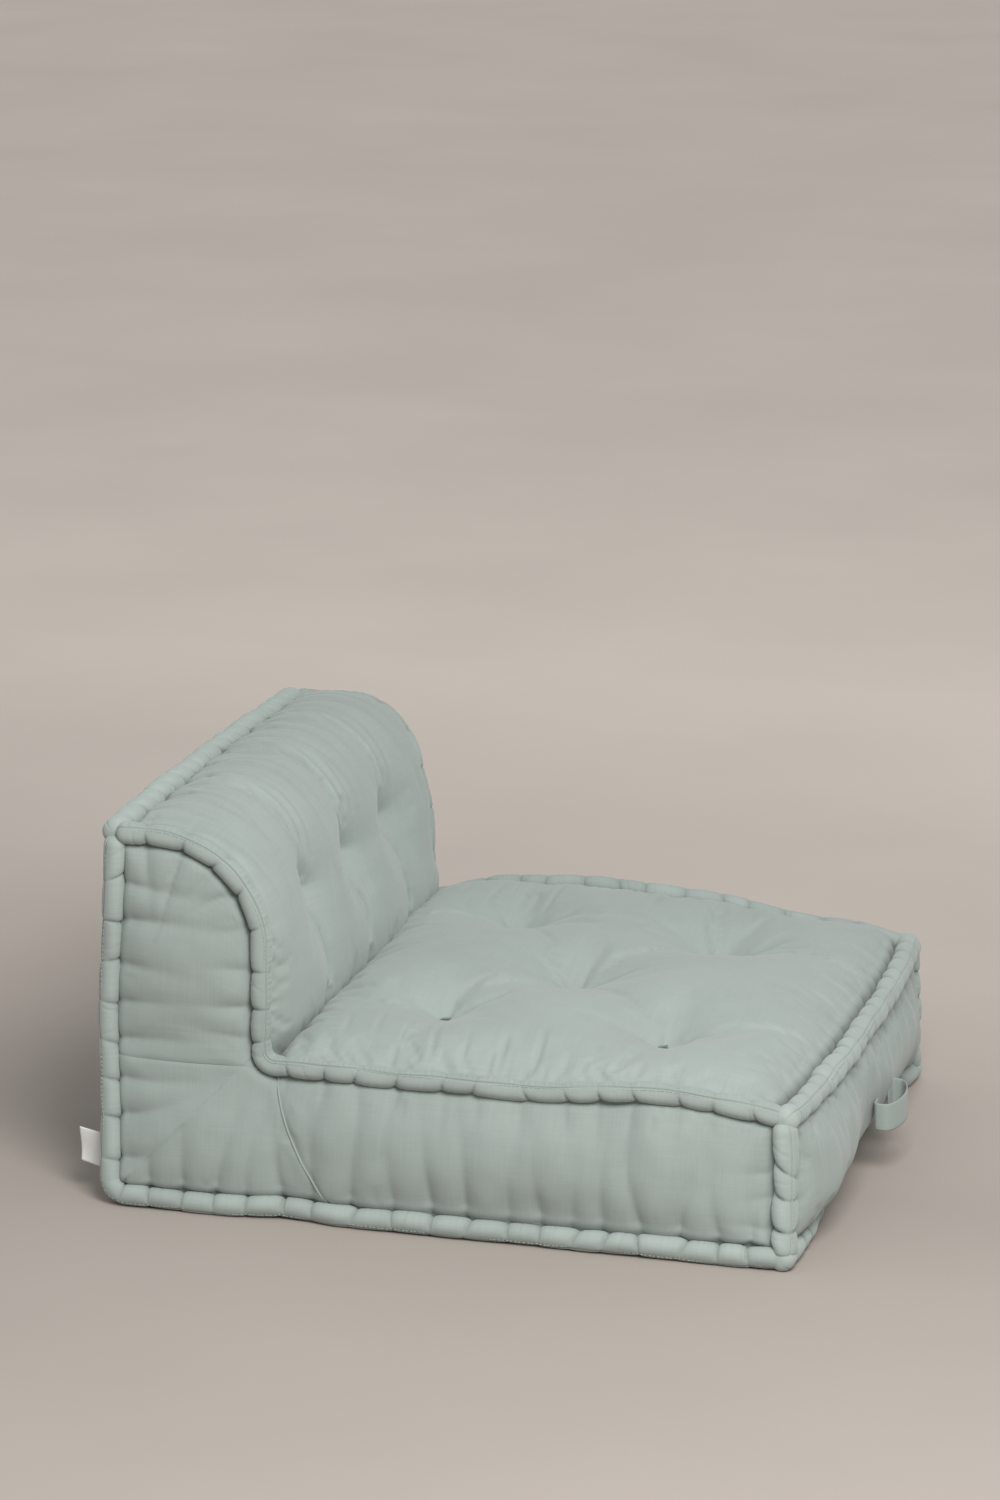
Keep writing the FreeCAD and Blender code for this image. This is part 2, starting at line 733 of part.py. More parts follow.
def tied_cord(name, base, span, rotation, tie_lean):
    """A cord from base along its own axis, with a tie lying across both ends."""
    knot = size("tie_diameter") / 2
    length = size("tie_length")
    pieces = [round_bar(name + "_cord", cord, span, base, rotation)]
    for number, along in enumerate((knot, span - knot)):
        reach = rotation.multVec(V(0, 0, 1))
        centre = [part + along * weight for part, weight in zip(base, reach)]
        start = (centre[0] - length / 2, centre[1], centre[2])
        pieces.append(round_bar("%s_knot_%d" % (name, number), knot, length, start, tie_lean))
    fused = doc.addObject("Part::MultiFuse", name)
    fused.Shapes = pieces
    return fused


across_x = FreeCAD.Rotation(V(0, 1, 0), 90)
knot_height = size("tie_diameter")
cords = []
for number, spot in enumerate(seat_tufts):
    low = size("under_tuft_depth") - gap - knot_height
    high = seat_floor(spot) + gap + knot_height
    base = (spot[0], spot[1], low)
    cords.append(tied_cord("seat_tie_%d" % number, base, high - low, FreeCAD.Rotation(), across_x))
bundle = doc.addObject("Part::Compound", "seat_tuft_ties")
bundle.Links = cords
keep("seat_tuft_ties", bundle)

along_y = FreeCAD.Rotation(V(1, 0, 0), -90)
cords = []
for number, across in enumerate(back_tufts):
    low = back_floor(across) - gap - knot_height
    high = rear_floor(across) + gap + knot_height
    base = (term(across), low, size("back_tuft_z"))
    cords.append(tied_cord("back_tie_%d" % number, base, high - low, along_y, across_x))
bundle = doc.addObject("Part::Compound", "back_tuft_ties")
bundle.Links = cords
keep("back_tuft_ties", bundle)

# Carry handle: sewn strap ends on the front panel and the loop that swings between them
handle_x = size("handle_x")
handle_z = size("handle_height")
tab_thick = size("tab_thickness")
strap_half = size("strap_thickness") / 2
span_half = size("handle_span") / 2
middle = (roll + seat_line) / 2
share = (handle_z - middle) / (seat_line - middle)
panel_y = front_face - bow(handle_x, size("front_bulge")) * (1 - share * share)
tab_face = panel_y - tab_thick
swing_y = tab_face - strap / 2 - size("swing_gap")
sag = size("handle_reach") - (panel_y - swing_y)

front_room = upright_pad("front_room", front_face, -1, roll, seat_line, size("front_bulge"), -gap)
tabs = []
for name, sign in (("near_tab", -1), ("far_tab", 1)):
    outer_x = handle_x + sign * (span_half + strap_half)
    inner_x = outer_x - sign * size("tab_length")
    block = doc.addObject("Part::Box", name + "_block")
    tie(block, "Length", size("tab_length"))
    tie(block, "Width", 2 * tab_thick)
    tie(block, "Height", strap)
    place(block, (outer_x if sign < 0 else inner_x, tab_face, handle_z - strap / 2))
    sewn = doc.addObject("Part::Cut", name)
    sewn.Base = block
    sewn.Tool = front_room
    tabs.append(sewn)
bundle = doc.addObject("Part::Compound", "handle_ends")
bundle.Links = tabs
keep("handle_ends", bundle)

root = swing_y + strap / 2
out_x = span_half + strap_half
in_x = span_half - strap_half
corners = [
    ((handle_x - out_x, root), None),
    ((handle_x - out_x, swing_y), (handle_x, swing_y - sag)),
    ((handle_x + out_x, swing_y), None),
    ((handle_x + out_x, root), None),
    ((handle_x + in_x, root), None),
    ((handle_x + in_x, swing_y), (handle_x, swing_y - sag + 2 * strap_half)),
    ((handle_x - in_x, swing_y), None),
    ((handle_x - in_x, root), None),
]
webbing = padded("webbing_loop", "XY_Plane", handle_z - strap / 2, corners, strap)
reach_y = swing_y - size("handle_reach")
corners = [
    ((reach_y, handle_z - strap / 2), None),
    ((swing_y, handle_z - strap / 2), (swing_y + strap / 2 * SLANT, handle_z - strap / 2 * SLANT)),
    ((swing_y + strap / 2, handle_z), (swing_y + strap / 2 * SLANT, handle_z + strap / 2 * SLANT)),
    ((swing_y, handle_z + strap / 2), None),
    ((reach_y, handle_z + strap / 2), None),
]
rounded = padded("webbing_ends", "YZ_Plane", handle_x - 2 * span_half, corners, 4 * span_half)
loop = doc.addObject("Part::Common", "carry_handle")
loop.Base = webbing
loop.Tool = rounded
keep("carry_handle", loop)

# Blank label sewn into the rear left roll
tag = doc.addObject("Part::Box", "label_strip")
tie(tag, "Length", size("label_thickness"))
tie(tag, "Width", size("label_length") + roll)
tie(tag, "Height", size("label_height"))
place(tag, (-edge_x - size("label_thickness") / 2, rear_line, size("label_base")))
cut(tag, [tubes["left_rear_corner"]], "care_label")

doc.recompute()

# Checks on every object, then one file for each named piece
for each in doc.Objects:
    if "Invalid" in each.State or "Error" in each.State:
        raise RuntimeError("%s did not compute: %s" % (each.Label, each.State))
os.makedirs("parts", exist_ok=True)
for label, thing in nodes.items():
    shape = thing.Shape
    if shape.isNull() or not shape.isValid() or not shape.Solids:
        raise RuntimeError("%s has no sound solid" % label)
    shape.exportStep("parts/%s.step" % label)
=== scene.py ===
import math

import bpy
import numpy as np
from bpy.props import FloatProperty, FloatVectorProperty, PointerProperty
from mathutils import Matrix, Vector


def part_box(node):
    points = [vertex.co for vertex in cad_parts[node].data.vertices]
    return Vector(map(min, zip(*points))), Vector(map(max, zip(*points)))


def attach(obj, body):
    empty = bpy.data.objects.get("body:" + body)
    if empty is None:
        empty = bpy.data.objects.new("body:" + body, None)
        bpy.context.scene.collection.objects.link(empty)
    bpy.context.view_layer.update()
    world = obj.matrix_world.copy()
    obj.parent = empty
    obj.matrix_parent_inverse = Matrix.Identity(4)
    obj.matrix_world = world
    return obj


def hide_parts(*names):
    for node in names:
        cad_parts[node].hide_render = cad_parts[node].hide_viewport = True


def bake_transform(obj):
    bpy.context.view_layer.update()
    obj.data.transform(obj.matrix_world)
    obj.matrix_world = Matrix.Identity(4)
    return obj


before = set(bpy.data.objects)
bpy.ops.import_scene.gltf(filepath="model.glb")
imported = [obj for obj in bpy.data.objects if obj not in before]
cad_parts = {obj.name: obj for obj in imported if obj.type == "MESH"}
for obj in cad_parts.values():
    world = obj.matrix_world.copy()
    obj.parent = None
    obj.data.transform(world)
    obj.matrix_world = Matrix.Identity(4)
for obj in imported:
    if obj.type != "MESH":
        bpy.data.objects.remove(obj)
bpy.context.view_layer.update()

bl_info = {
    "name": "Tufted floor sofa module",
    "version": (1, 0, 0),
    "blender": (4, 5, 0),
    "location": "3D View > Sidebar > Sofa",
    "description": "Sews the covers, edge rolls, tufts, strap and label over the packed frame",
    "category": "Object",
}


# Lines of the frame that every piece is set out from, in metres
def middle(node, axis):
    low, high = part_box(node)
    return (low[axis] + high[axis]) / 2


ROLL = (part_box("front_top_roll")[1][2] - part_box("front_top_roll")[0][2]) / 2
EDGE_X = abs(middle("left_bottom_roll", 0))
FRONT_Y = middle("front_top_roll", 1)
REAR_Y = middle("rear_top_roll", 1)
SEAT_Z = middle("front_top_roll", 2)
TOP_Z = middle("rear_top_roll", 2)
BASE_Z = middle("front_bottom_roll", 2)
PROFILE_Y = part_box("left_back_profile_roll")[0][1] + ROLL
SHOULDER = 0.150
ARC_Y = PROFILE_Y + SHOULDER
ARC_Z = TOP_Z - SHOULDER
SIDES = (("left", -1), ("right", 1))

# Tufts: on the seat as (x, y), on the back as x at one height; flat under the tie, and how far it holds
SEAT_TUFTS = ((-0.014, -0.082), (-0.205, 0.055), (0.215, 0.066), (-0.230, -0.269), (0.210, -0.240))
BACK_TUFTS = (-0.20, 0.0, 0.20)
BACK_TUFT_Z = 0.415
TUFT_FLAT = 0.007
TUFT_HOLD = 0.009
REAR_TUFT_HOLD = 0.010

# Bends of the edge lines, and how the covers lie beside the rolls
INNER_BEND = 0.022
HEEL = 0.026
FRONT_SLIP = -0.016
EAR = 0.017
REAR_SHORT = 0.009
TUCK_Y = PROFILE_Y + 0.006
RISE = 0.005
SINK = 0.009
LIP = 0.017
HELD = 1.15 * ROLL

# Steps of the meshes and of the settling, and the depth of a fold that takes its whole painted shade
UNDER_STEP = 0.008
FULL_FOLD = 0.003
ROLL_STEP = 0.0017
CLOTH_STRIDE = 3
CLOTH_FRAMES = 20
HALF_TURN = [2.5, 5, 8, 12, 18, 27, 37, 48, 59, 70, 81, 93, 105, 118, 132, 148, 164]
AROUND = np.radians([-turn for turn in reversed(HALF_TURN)] + [0] + HALF_TURN + [180])


# Small array tools
def unit(v):
    return v / np.maximum(np.linalg.norm(v, axis=-1, keepdims=True), 1e-12)


def smooth(x):
    t = np.clip(x, 0, 1)
    return t * t * (3 - 2 * t)


def bell(x, centre, reach):
    """1 at the centre, falling off on both sides as exp(-((x - centre) / reach)^2)."""
    return np.exp(-(((x - centre) / reach) ** 2))


def run_along(points):
    """Distance from the first point along a line of points."""
    return np.concatenate([[0], np.cumsum(np.linalg.norm(np.diff(points, axis=0), axis=1))])


def pillow(d, run):
    """0 inside a roll, then 1 - exp(-(d - start) / run) beyond its surface."""
    return 1 - np.exp(-np.maximum(d - 0.8 * ROLL, 0) / run)


def crease(d, start=1.0):
    """Lip of a cover at a deep crease: it rises steeply from start roll radii off the roll's line."""
    return 1 - np.exp(-np.maximum(d - start * ROLL, 0) / 0.0055)


def tangent_lip(d):
    """Lip of a cover that runs on softly from the roll: it rises inside the roll's surface."""
    return 1 - np.exp(-np.maximum(d - 0.30 * ROLL, 0) / 0.0065)


def front_line(x):
    """Depth of the front top roll, pushed forward by the stuffing, a little more at the far corner."""
    push, skew, bow = 0.011, 0.003, 0.019
    return FRONT_Y - push - skew * x / EDGE_X - bow * (1 - np.minimum(np.abs(x) / EDGE_X, 1) ** 3)


def front_lift(x):
    """How far the front top roll climbs from the near corner to the far one."""
    climb = 0.009
    return climb * x / EDGE_X


def front_foot(x):
    """Depth of the front bottom roll: forward at both corners, drawn in under the belly between them."""
    tuck, near_start, near_run, far_run = 0.026, -0.32, 0.28, 0.15
    reach = EDGE_X + base_bow(FRONT_Y)
    between = smooth((x - near_start) / near_run) * smooth((reach - x) / far_run)
    return FRONT_Y + FRONT_SLIP + tuck * between


def seat_rise(x, y):
    """How far the stuffing lifts the seat and its side rolls: half a wave along the seat, that ends short
    of the inner corner and is higher on the far side, a swell of the near side behind its front corner,
    ups and downs of the far side, and the lift of the front corners."""
    mid_rise, tilt, wave_end, near_swell, corner_power = 0.027, 0.025, 0.87, 0.0065, 12
    far_levels = ((0.009, 0.08, 0.07), (-0.0065, 0.52, 0.17), (0.004, 0.85, 0.08))
    t = np.clip((y - FRONT_Y) / (PROFILE_Y - FRONT_Y), 0, 1)
    wave = (mid_rise + tilt * x / EDGE_X) * np.sin(wave_end * math.pi * t)
    swell = near_swell * (1 - x / EDGE_X) * bell(y, -0.32, 0.12)
    far = smooth((x + EDGE_X) / (2 * EDGE_X)) ** 2
    level = sum(height * bell(t, place, reach) for height, place, reach in far_levels)
    return wave + swell + far * level + front_lift(x) * (1 - t) ** corner_power


def seat_bow(y):
    """How far the side rolls of the seat swing out between the front and the back."""
    t = np.clip((y - FRONT_Y) / (PROFILE_Y - FRONT_Y), 0, 1)
    swing = 0.013
    return swing * np.sin(math.pi * t)


def side_lean(z):
    """Share of the foot's outward swing at height z: all of it at the foot, none above the seat."""
    top = SEAT_Z + 0.06
    return np.clip((top - z) / (top - BASE_Z), 0, 1) ** 1.5


def base_bow(y):
    """How far the foot of a side stands out past its edge line, less at the slack place by the side seam."""
    stand_out, slack = 0.036, 0.014
    return stand_out - slack * bell(y, 0.21, 0.05)


def rear_bow(z):
    """How far the rear and its corner rolls swing out above the seat's height."""
    swing = 0.0115
    return swing * bell(z, 0.27, 0.14)


def top_bow(x):
    """How far the rear top roll swings back between its corners; it also rises by twice as much."""
    swing = 0.003
    return swing * (1 - np.minimum(np.abs(x) / EDGE_X, 1) ** 2.5)


def shoulder_lean(x, turn, z):
    """Fullness of the far shoulder: out over its top, in below it and out again above the seat."""
    far = smooth((x + EDGE_X) / (2 * EDGE_X))
    top_out, under_in, foot_out = 0.013, 0.008, 0.014
    over = top_out * bell(turn, 1.13, 0.44) - under_in * bell(turn, 0.25, 0.3)
    return far * (over + foot_out * bell(z, 0.265, 0.06))


def uneven(points, pitch, seed, count=7):
    """Soft unevenness about 1 high: several sine waves about one pitch long, in seeded directions."""
    rng = np.random.default_rng(seed)
    total = np.zeros(points.shape[:-1])
    for _ in range(count):
        way = unit(rng.normal(size=3))
        wave = 2 * math.pi / (pitch * rng.uniform(0.7, 1.5))
        total += np.sin(points @ way * wave + rng.uniform(0, 2 * math.pi))
    return total / math.sqrt(count)


def rest_on_floor(z):
    """Presses what would sink below the floor flat on it, with a soft bend."""
    bend, sink = 0.002, 0.0002
    return 0.5 * (z + np.sqrt(z * z + bend**2)) - sink


def grid_normals(points):
    """Normals of a grid whose columns cross its rows to the outside."""
    across = np.gradient(points, axis=1)
    along = np.gradient(points, axis=0)
    return unit(np.cross(across, along))


def cubic_weights(count, stride):
    """Weights that carry every stride-th sample of a row back to all its points, by cubic convolution."""
    fine = np.arange(count)[:, None] / stride
    coarse = np.arange((count - 1) // stride + 1)[None]
    x = np.abs(fine - coarse)
    near = 1.5 * x**3 - 2.5 * x**2 + 1
    far = -0.5 * x**3 + 2.5 * x**2 - 4 * x + 2
    weights = np.where(x < 1, near, np.where(x < 2, far, 0))
    return weights / weights.sum(axis=1, keepdims=True)


def odd_count(length, step):
    """Points along a length, so that every third one reaches both ends."""
    return CLOTH_STRIDE * max(2, round(length / step / CLOTH_STRIDE)) + 1


# Sewn edges
class Edge:
    """A sewn edge: the centre line of its roll, the way its crest faces and the stitches that pinch it.

    slant and curl lean the creases, fringe is the side with puckers (0 for none), plump and girth scale the
    beads and the roll, and crest is the share of a bead's relief that reaches over the crest."""

    def __init__(
        self, line, facing, pitch, seed, slant=0.0, fringe=0, plump=1.0, girth=1.0, curl=0.0, crest=0.2
    ):
        line = np.asarray(line, float)
        facing = np.asarray(facing, float)
        run = run_along(line)
        self.knots = line
        self.knot_run = run
        self.length = run[-1]
        self.slant = slant
        self.fringe = fringe
        self.plump = plump
        self.girth = girth * ROLL
        self.curl = curl
        self.crest = crest
        self.seed = seed
        self.s = np.linspace(0, self.length, int(self.length / ROLL_STEP) + 1)
        self.line = np.stack([np.interp(self.s, run, line[:, k]) for k in range(3)], axis=1)
        self.facing = unit(np.stack([np.interp(self.s, run, facing[:, k]) for k in range(3)], axis=1))
        rng = np.random.default_rng(seed)
        gaps = pitch * rng.uniform(0.80, 1.20, int(2 * self.length / pitch) + 2)
        places = np.cumsum(gaps) - gaps[0] * 0.5
        places = places[places < self.length - 0.4 * pitch]
        self.pinches = np.concatenate([[-0.3 * pitch], places, [self.length + 0.3 * pitch]])
        self.pull = rng.uniform(0.65, 1.20, len(self.pinches))
        self.fat = rng.uniform(0.6, 1.3, len(self.pinches))
        self.step = rng.uniform(-0.0009, 0.0007, len(self.pinches))
        self.skew = rng.normal(0, 0.20, len(self.pinches))
        count = int(1.6 * self.length / pitch)
        self.tucks = np.stack(
            [
                rng.uniform(0, self.length, count),
                rng.uniform(0.0003, 0.0013, count),
                rng.normal(0, 0.35, count),
                rng.choice([-1.0, 1.0], count),
            ],
            axis=1,
        )

    def near(self, points):
        """For each point, the run along the edge of its nearest place and the distance to it."""
        best = np.full(points.shape[:-1], np.inf)
        run = np.zeros(points.shape[:-1])
        for start, stop, at in zip(self.knots[:-1], self.knots[1:], self.knot_run[:-1]):
            way = stop - start
            length = np.linalg.norm(way)
            t = np.clip((points - start) @ way / length**2, 0, 1)
            gap = ((points - start - t[..., None] * way) ** 2).sum(-1)
            run = np.where(gap < best, at + t * length, run)
            best = np.minimum(best, gap)
        return run, np.sqrt(best)

    def bead(self, s):
        """Share of the way through its bead, and the number of the stitch before it."""
        number = np.clip(np.searchsorted(self.pinches, s) - 1, 0, len(self.pinches) - 2)
        first = self.pinches[number]
        return np.clip((s - first) / (self.pinches[number + 1] - first), 0, 1), number

    def seam_turn(self, s):
        """Angle of the crest seam off the crest: a slow wander of a few degrees."""
        phase = self.seed * 1.7
        return np.radians(4.0 * np.sin(s * 21 + phase) + 3.0 * np.sin(s * 57 + 2 * phase))

    def radius(self, s, theta, look):
        """Roll radius: beads a little apart in height that swell towards the panels, a narrow crease at each
        stitch, a puckered fringe beside the crest and a groove along the crest seam."""
        lean = self.slant + np.interp(s, self.pinches, self.skew)
        at = s + ROLL * theta * (lean + self.curl * theta)
        t, number = self.bead(at)
        side = smooth((np.abs(theta) - 0.2) / 1.1)
        relief = self.plump * (self.crest + (1 - self.crest) * side)
        swell = relief * look.roll_swell * self.fat[number] * np.sqrt(np.maximum(4 * t * (1 - t), 0))
        off = np.minimum(at - self.pinches[number], self.pinches[number + 1] - at)
        pull = np.where(t < 0.5, self.pull[number], self.pull[number + 1])
        drawn = 0.55 * np.exp(-np.abs(off) / 0.0017) + 0.45 * np.exp(-np.abs(off) / 0.0075)
        pinch = relief * look.roll_pinch * pull * drawn
        ripple = 0.00006 * np.sin(s * 690 + 3 * np.sin(s * 83 + self.seed)) * (0.3 + side)
        for place, deep, lean, way in self.tucks:
            line = np.exp(-np.abs(s - place + lean * ROLL * theta) / 0.0013)
            ripple = ripple - deep * line * smooth((way * theta - 0.15) / 0.5)
        band = smooth((theta * self.fringe - 0.10) / 0.12) * smooth((1.15 - theta * self.fringe) / 0.3)
        pucker = np.sin(s * 1050 + 2.5 * np.sin(s * 211 + self.seed))
        pucker = pucker + 0.6 * np.sin(s * 1730 + 1.3 * self.seed)
        ripple = ripple + 0.00042 * band * pucker
        groove = look.seam_groove * bell((theta - self.seam_turn(s)) * ROLL, 0, 0.0012)
        return self.girth + self.step[number] + swell - pinch + ripple - groove

    def place(self, s):
        """Numbers of the line's points at runs s."""
        return np.clip(np.searchsorted(self.s, s), 0, len(self.s) - 1)

    def axes(self):
        """Tangent and the third direction, which with the facing make a right-handed set."""
        tangent = unit(np.gradient(self.line, axis=0))
        return tangent, unit(np.cross(tangent, self.facing))


def arc(centre, radius, first, last, count):
    """Points of an arc in the (y, z) plane from first to last degrees, and its outward directions."""
    turn = np.radians(np.linspace(first, last, count))
    out = np.stack([np.cos(turn), np.sin(turn)], axis=1)
    return np.asarray(centre) + radius * out, out


def side_line(parts, sign):
    """A line in the plane of a side edge from (y, z) points and outward directions."""
    spots = [np.atleast_2d(np.asarray(spot, float)) for spot, _ in parts]
    flat = np.concatenate(spots)
    out = np.concatenate([np.broadcast_to(way, spot.shape) for spot, (_, way) in zip(spots, parts)])
    across = np.full((len(flat), 1), float(sign))
    return np.hstack([across * EDGE_X, flat]), np.hstack([across, out])


def cross_line(reach, y, z, out):
    """A line across the sofa from -reach to reach through y(x) and z(x), facing out = (y, z)."""
    x = np.linspace(-reach, reach, 41)
    line = np.stack([x, y(x), z(x)], axis=1)
    facing = np.broadcast_to(np.array([0.0, out[0], out[1]]), line.shape)
    return line, facing


def heel_lift(x):
    """How far the rear bottom roll climbs and draws in towards the rounded heels at its ends."""
    run = 0.09
    reach = EDGE_X + base_bow(REAR_Y)
    return HEEL * (1 - math.sqrt(0.5)) * smooth((np.abs(x) - reach + run) / run)


def cross_edges():
    """The four rolls across the sofa."""
    lines = {
        "front_top": cross_line(EDGE_X, front_line, lambda x: SEAT_Z + front_lift(x), (-1, 1)),
        "front_bottom": cross_line(
            EDGE_X + base_bow(FRONT_Y), front_foot, lambda x: np.full_like(x, BASE_Z), (-1, -1)
        ),
        "rear_top": cross_line(
            EDGE_X - REAR_SHORT, lambda x: REAR_Y + top_bow(x), lambda x: TOP_Z + 2 * top_bow(x), (1, 1)
        ),
        "rear_bottom": cross_line(
            EDGE_X + base_bow(REAR_Y),
            lambda x: REAR_Y - heel_lift(x),
            lambda x: BASE_Z + heel_lift(x),
            (1, -1),
        ),
    }
    looks = {
        "front_top": {"pitch": 0.046, "seed": 11, "slant": 0.30, "fringe": 1, "girth": 1.06, "crest": 0.4},
        "front_bottom": {"pitch": 0.044, "seed": 12},
        "rear_top": {"pitch": 0.042, "seed": 13, "slant": -0.45, "fringe": 1, "girth": 1.15, "crest": 0.75},
        "rear_bottom": {"pitch": 0.046, "seed": 14},
    }
    return {name: Edge(*lines[name], **looks[name]) for name in lines}


def sew_edges():
    """All ten rolls: four across the sofa, and on each side the profile, the base and the front corner."""
    up, down, fore, back = (0, 1), (0, -1), (-1, 0), (1, 0)
    edges = cross_edges()
    shoulder, round_out = arc((ARC_Y, ARC_Z), SHOULDER, 90, 180, 17)
    inner, inner_out = arc((PROFILE_Y - INNER_BEND, SEAT_Z + INNER_BEND), INNER_BEND, 0, -90, 7)
    heel_arc, heel_out = arc((REAR_Y - HEEL, BASE_Z + HEEL), HEEL, -90, 0, 9)
    base_y = np.linspace(FRONT_Y + FRONT_SLIP + EAR, REAR_Y - HEEL, 25)[:-1]
    base_line = np.stack([base_y, np.full(24, BASE_Z)], axis=1)
    rear_z = np.linspace(BASE_Z + HEEL, TOP_Z - EAR, 25)
    rear_line = np.stack([REAR_Y + rear_bow(rear_z), rear_z], axis=1)
    heel_arc[:, 0] += rear_bow(BASE_Z + HEEL) * np.linspace(0, 1, 9) ** 2
    for number, (side, sign) in enumerate(SIDES):
        seat_y = np.linspace(PROFILE_Y - INNER_BEND, front_line(sign * EDGE_X) + EAR, 25)[1:]
        seat_line = np.stack([seat_y, np.full(24, SEAT_Z)], axis=1)
        parts = [((REAR_Y - EAR, TOP_Z), up), (shoulder, round_out), (inner, -inner_out), (seat_line, up)]
        line, facing = side_line(parts, sign)
        low = smooth((ARC_Z - line[:, 2]) / (ARC_Z - SEAT_Z))
        line[:, 2] += seat_rise(line[:, 0], line[:, 1]) * low
        line[:, 0] += sign * seat_bow(line[:, 1])
        turn = np.arctan2(facing[:, 2], -facing[:, 1])
        lean = shoulder_lean(line[:, 0], turn, line[:, 2]) * smooth((line[:, 2] - SEAT_Z - 0.03) / 0.03)
        line[:, 1:] += lean[:, None] * unit(facing[:, 1:])
        edges[side + "_profile"] = Edge(
            line, facing, pitch=0.055, seed=21 + number, fringe=sign, plump=0.75, girth=0.88
        )
        parts = [(base_line, down), (heel_arc, heel_out), (rear_line[1:], back)]
        line, facing = side_line(parts, sign)
        line[:, 0] += sign * base_bow(line[:, 1]) * side_lean(line[:, 2])
        edges[side + "_base"] = Edge(line, facing, pitch=0.053, seed=31 + number, plump=0.8, girth=0.95)
        foot = np.linspace(BASE_Z + EAR, SEAT_Z - EAR, 9)
        share = (SEAT_Z - foot) / (SEAT_Z - BASE_Z)
        drawn = front_line(sign * EDGE_X) * (1 - share) + (FRONT_Y + FRONT_SLIP) * share
        line, facing = side_line([(np.stack([drawn, foot], axis=1), fore)], sign)
        line[:, 0] += sign * base_bow(FRONT_Y) * side_lean(foot)
        line[:, 2] += front_lift(sign * EDGE_X) * (1 - share)
        edges[side + "_corner"] = Edge(
            line, facing, pitch=0.040, seed=41 + number, plump=1.15, curl=-0.10, crest=0.3
        )
    return edges


EDGES = sew_edges()
FORMS = {}
SURFACES = {}


# Meshes
def as_mesh(name, points, faces, corner_uv=None, fold=None):
    """An object at the origin from points and face arrays, with a UV map in metres and a fold mask that
    sets painted light and shade.
    """
    mesh = bpy.data.meshes.new(name)
    listed = [face for block in faces for face in block.tolist()]
    mesh.from_pydata(points.reshape(-1, 3).tolist(), [], listed)
    mesh.polygons.foreach_set("use_smooth", np.ones(len(mesh.polygons), bool))
    if corner_uv is not None:
        layer = mesh.uv_layers.new(name="cloth")
        spread = np.concatenate([block.reshape(-1, 2) for block in corner_uv])
        layer.data.foreach_set("uv", spread.ravel().astype(np.float32))
    if fold is not None:
        mask = mesh.attributes.new("fold", "FLOAT", "POINT")
        mask.data.foreach_set("value", fold.ravel().astype(np.float32))
    mesh.update()
    piece = bpy.data.objects.new(name, mesh)
    bpy.context.scene.collection.objects.link(piece)
    return piece


def corner_values(values):
    """The values of a grid at the four corners of each of its cells."""
    return np.stack([values[:-1, :-1], values[:-1, 1:], values[1:, 1:], values[1:, :-1]], axis=2)


def quads(index):
    return corner_values(index).reshape(-1, 4)


def sheet_object(name, points, uv, fold):
    """A grid surface."""
    index = np.arange(points.shape[0] * points.shape[1]).reshape(points.shape[:2])
    return as_mesh(name, points, [quads(index)], [corner_values(uv)], fold)


def tube_object(name, rings, uv, fold=None):
    """Rings of points closed round, with a pole in the middle of each end."""
    rows, columns = rings.shape[:2]
    index = np.arange(rows * columns).reshape(rows, columns)
    wrapped = np.concatenate([index, index[:, :1]], axis=1)
    poles = np.stack([rings[0].mean(axis=0), rings[-1].mean(axis=0)])
    first = np.full(columns, rows * columns)
    fans = [
        np.stack([first, wrapped[0, 1:], wrapped[0, :-1]], axis=1),
        np.stack([first + 1, wrapped[-1, :-1], wrapped[-1, 1:]], axis=1),
    ]
    fan_uv = [
        np.stack([uv[0, :-1], uv[0, 1:], uv[0, :-1]], axis=1),
        np.stack([uv[-1, :-1], uv[-1, :-1], uv[-1, 1:]], axis=1),
    ]
    points = np.concatenate([rings.reshape(-1, 3), poles])
    if fold is not None:
        fold = np.concatenate([fold.ravel(), [0, 0]])
    return as_mesh(name, points, [quads(wrapped)] + fans, [corner_values(uv)] + fan_uv, fold)


def swept(line, normal, section):
    """Rings of a section carried along a line: section[:, 0] along the normal, [:, 1] across it."""
    tangent = unit(np.gradient(line, axis=0))
    normal = unit(normal - (normal * tangent).sum(-1, keepdims=True) * tangent)
    across = np.cross(tangent, normal)
    section = np.asarray(section)
    if section.ndim == 2:
        section = np.broadcast_to(section, (len(line),) + section.shape)
    return line[:, None] + section[..., :1] * normal[:, None] + section[..., 1:] * across[:, None]


def ring(radius, count):
    turn = np.linspace(0, 2 * math.pi, count, endpoint=False)
    return radius * np.stack([np.cos(turn), np.sin(turn)], axis=1)


def plain_uv(rings):
    """UV of a tube: run along its first column and run round its middle ring."""
    middle_ring = rings[len(rings) // 2]
    closed = np.concatenate([middle_ring, middle_ring[:1]])
    return np.stack(np.meshgrid(run_along(rings[:, 0]), run_along(closed), indexing="ij"), axis=-1)


def finish(piece, material, nodes=(), body="cushion"):
    """Gives a piece its material, slot, the CAD nodes it replaces and the body it rides on."""
    piece.data.materials.clear()
    piece.data.materials.append(material)
    if nodes:
        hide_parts(*nodes)
    if body:
        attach(piece, body)
    return piece


# Finishes
def socket(group, name, way, kind, value=None):
    made = group.interface.new_socket(name=name, in_out=way, socket_type=kind)
    if value is not None:
        made.default_value = value


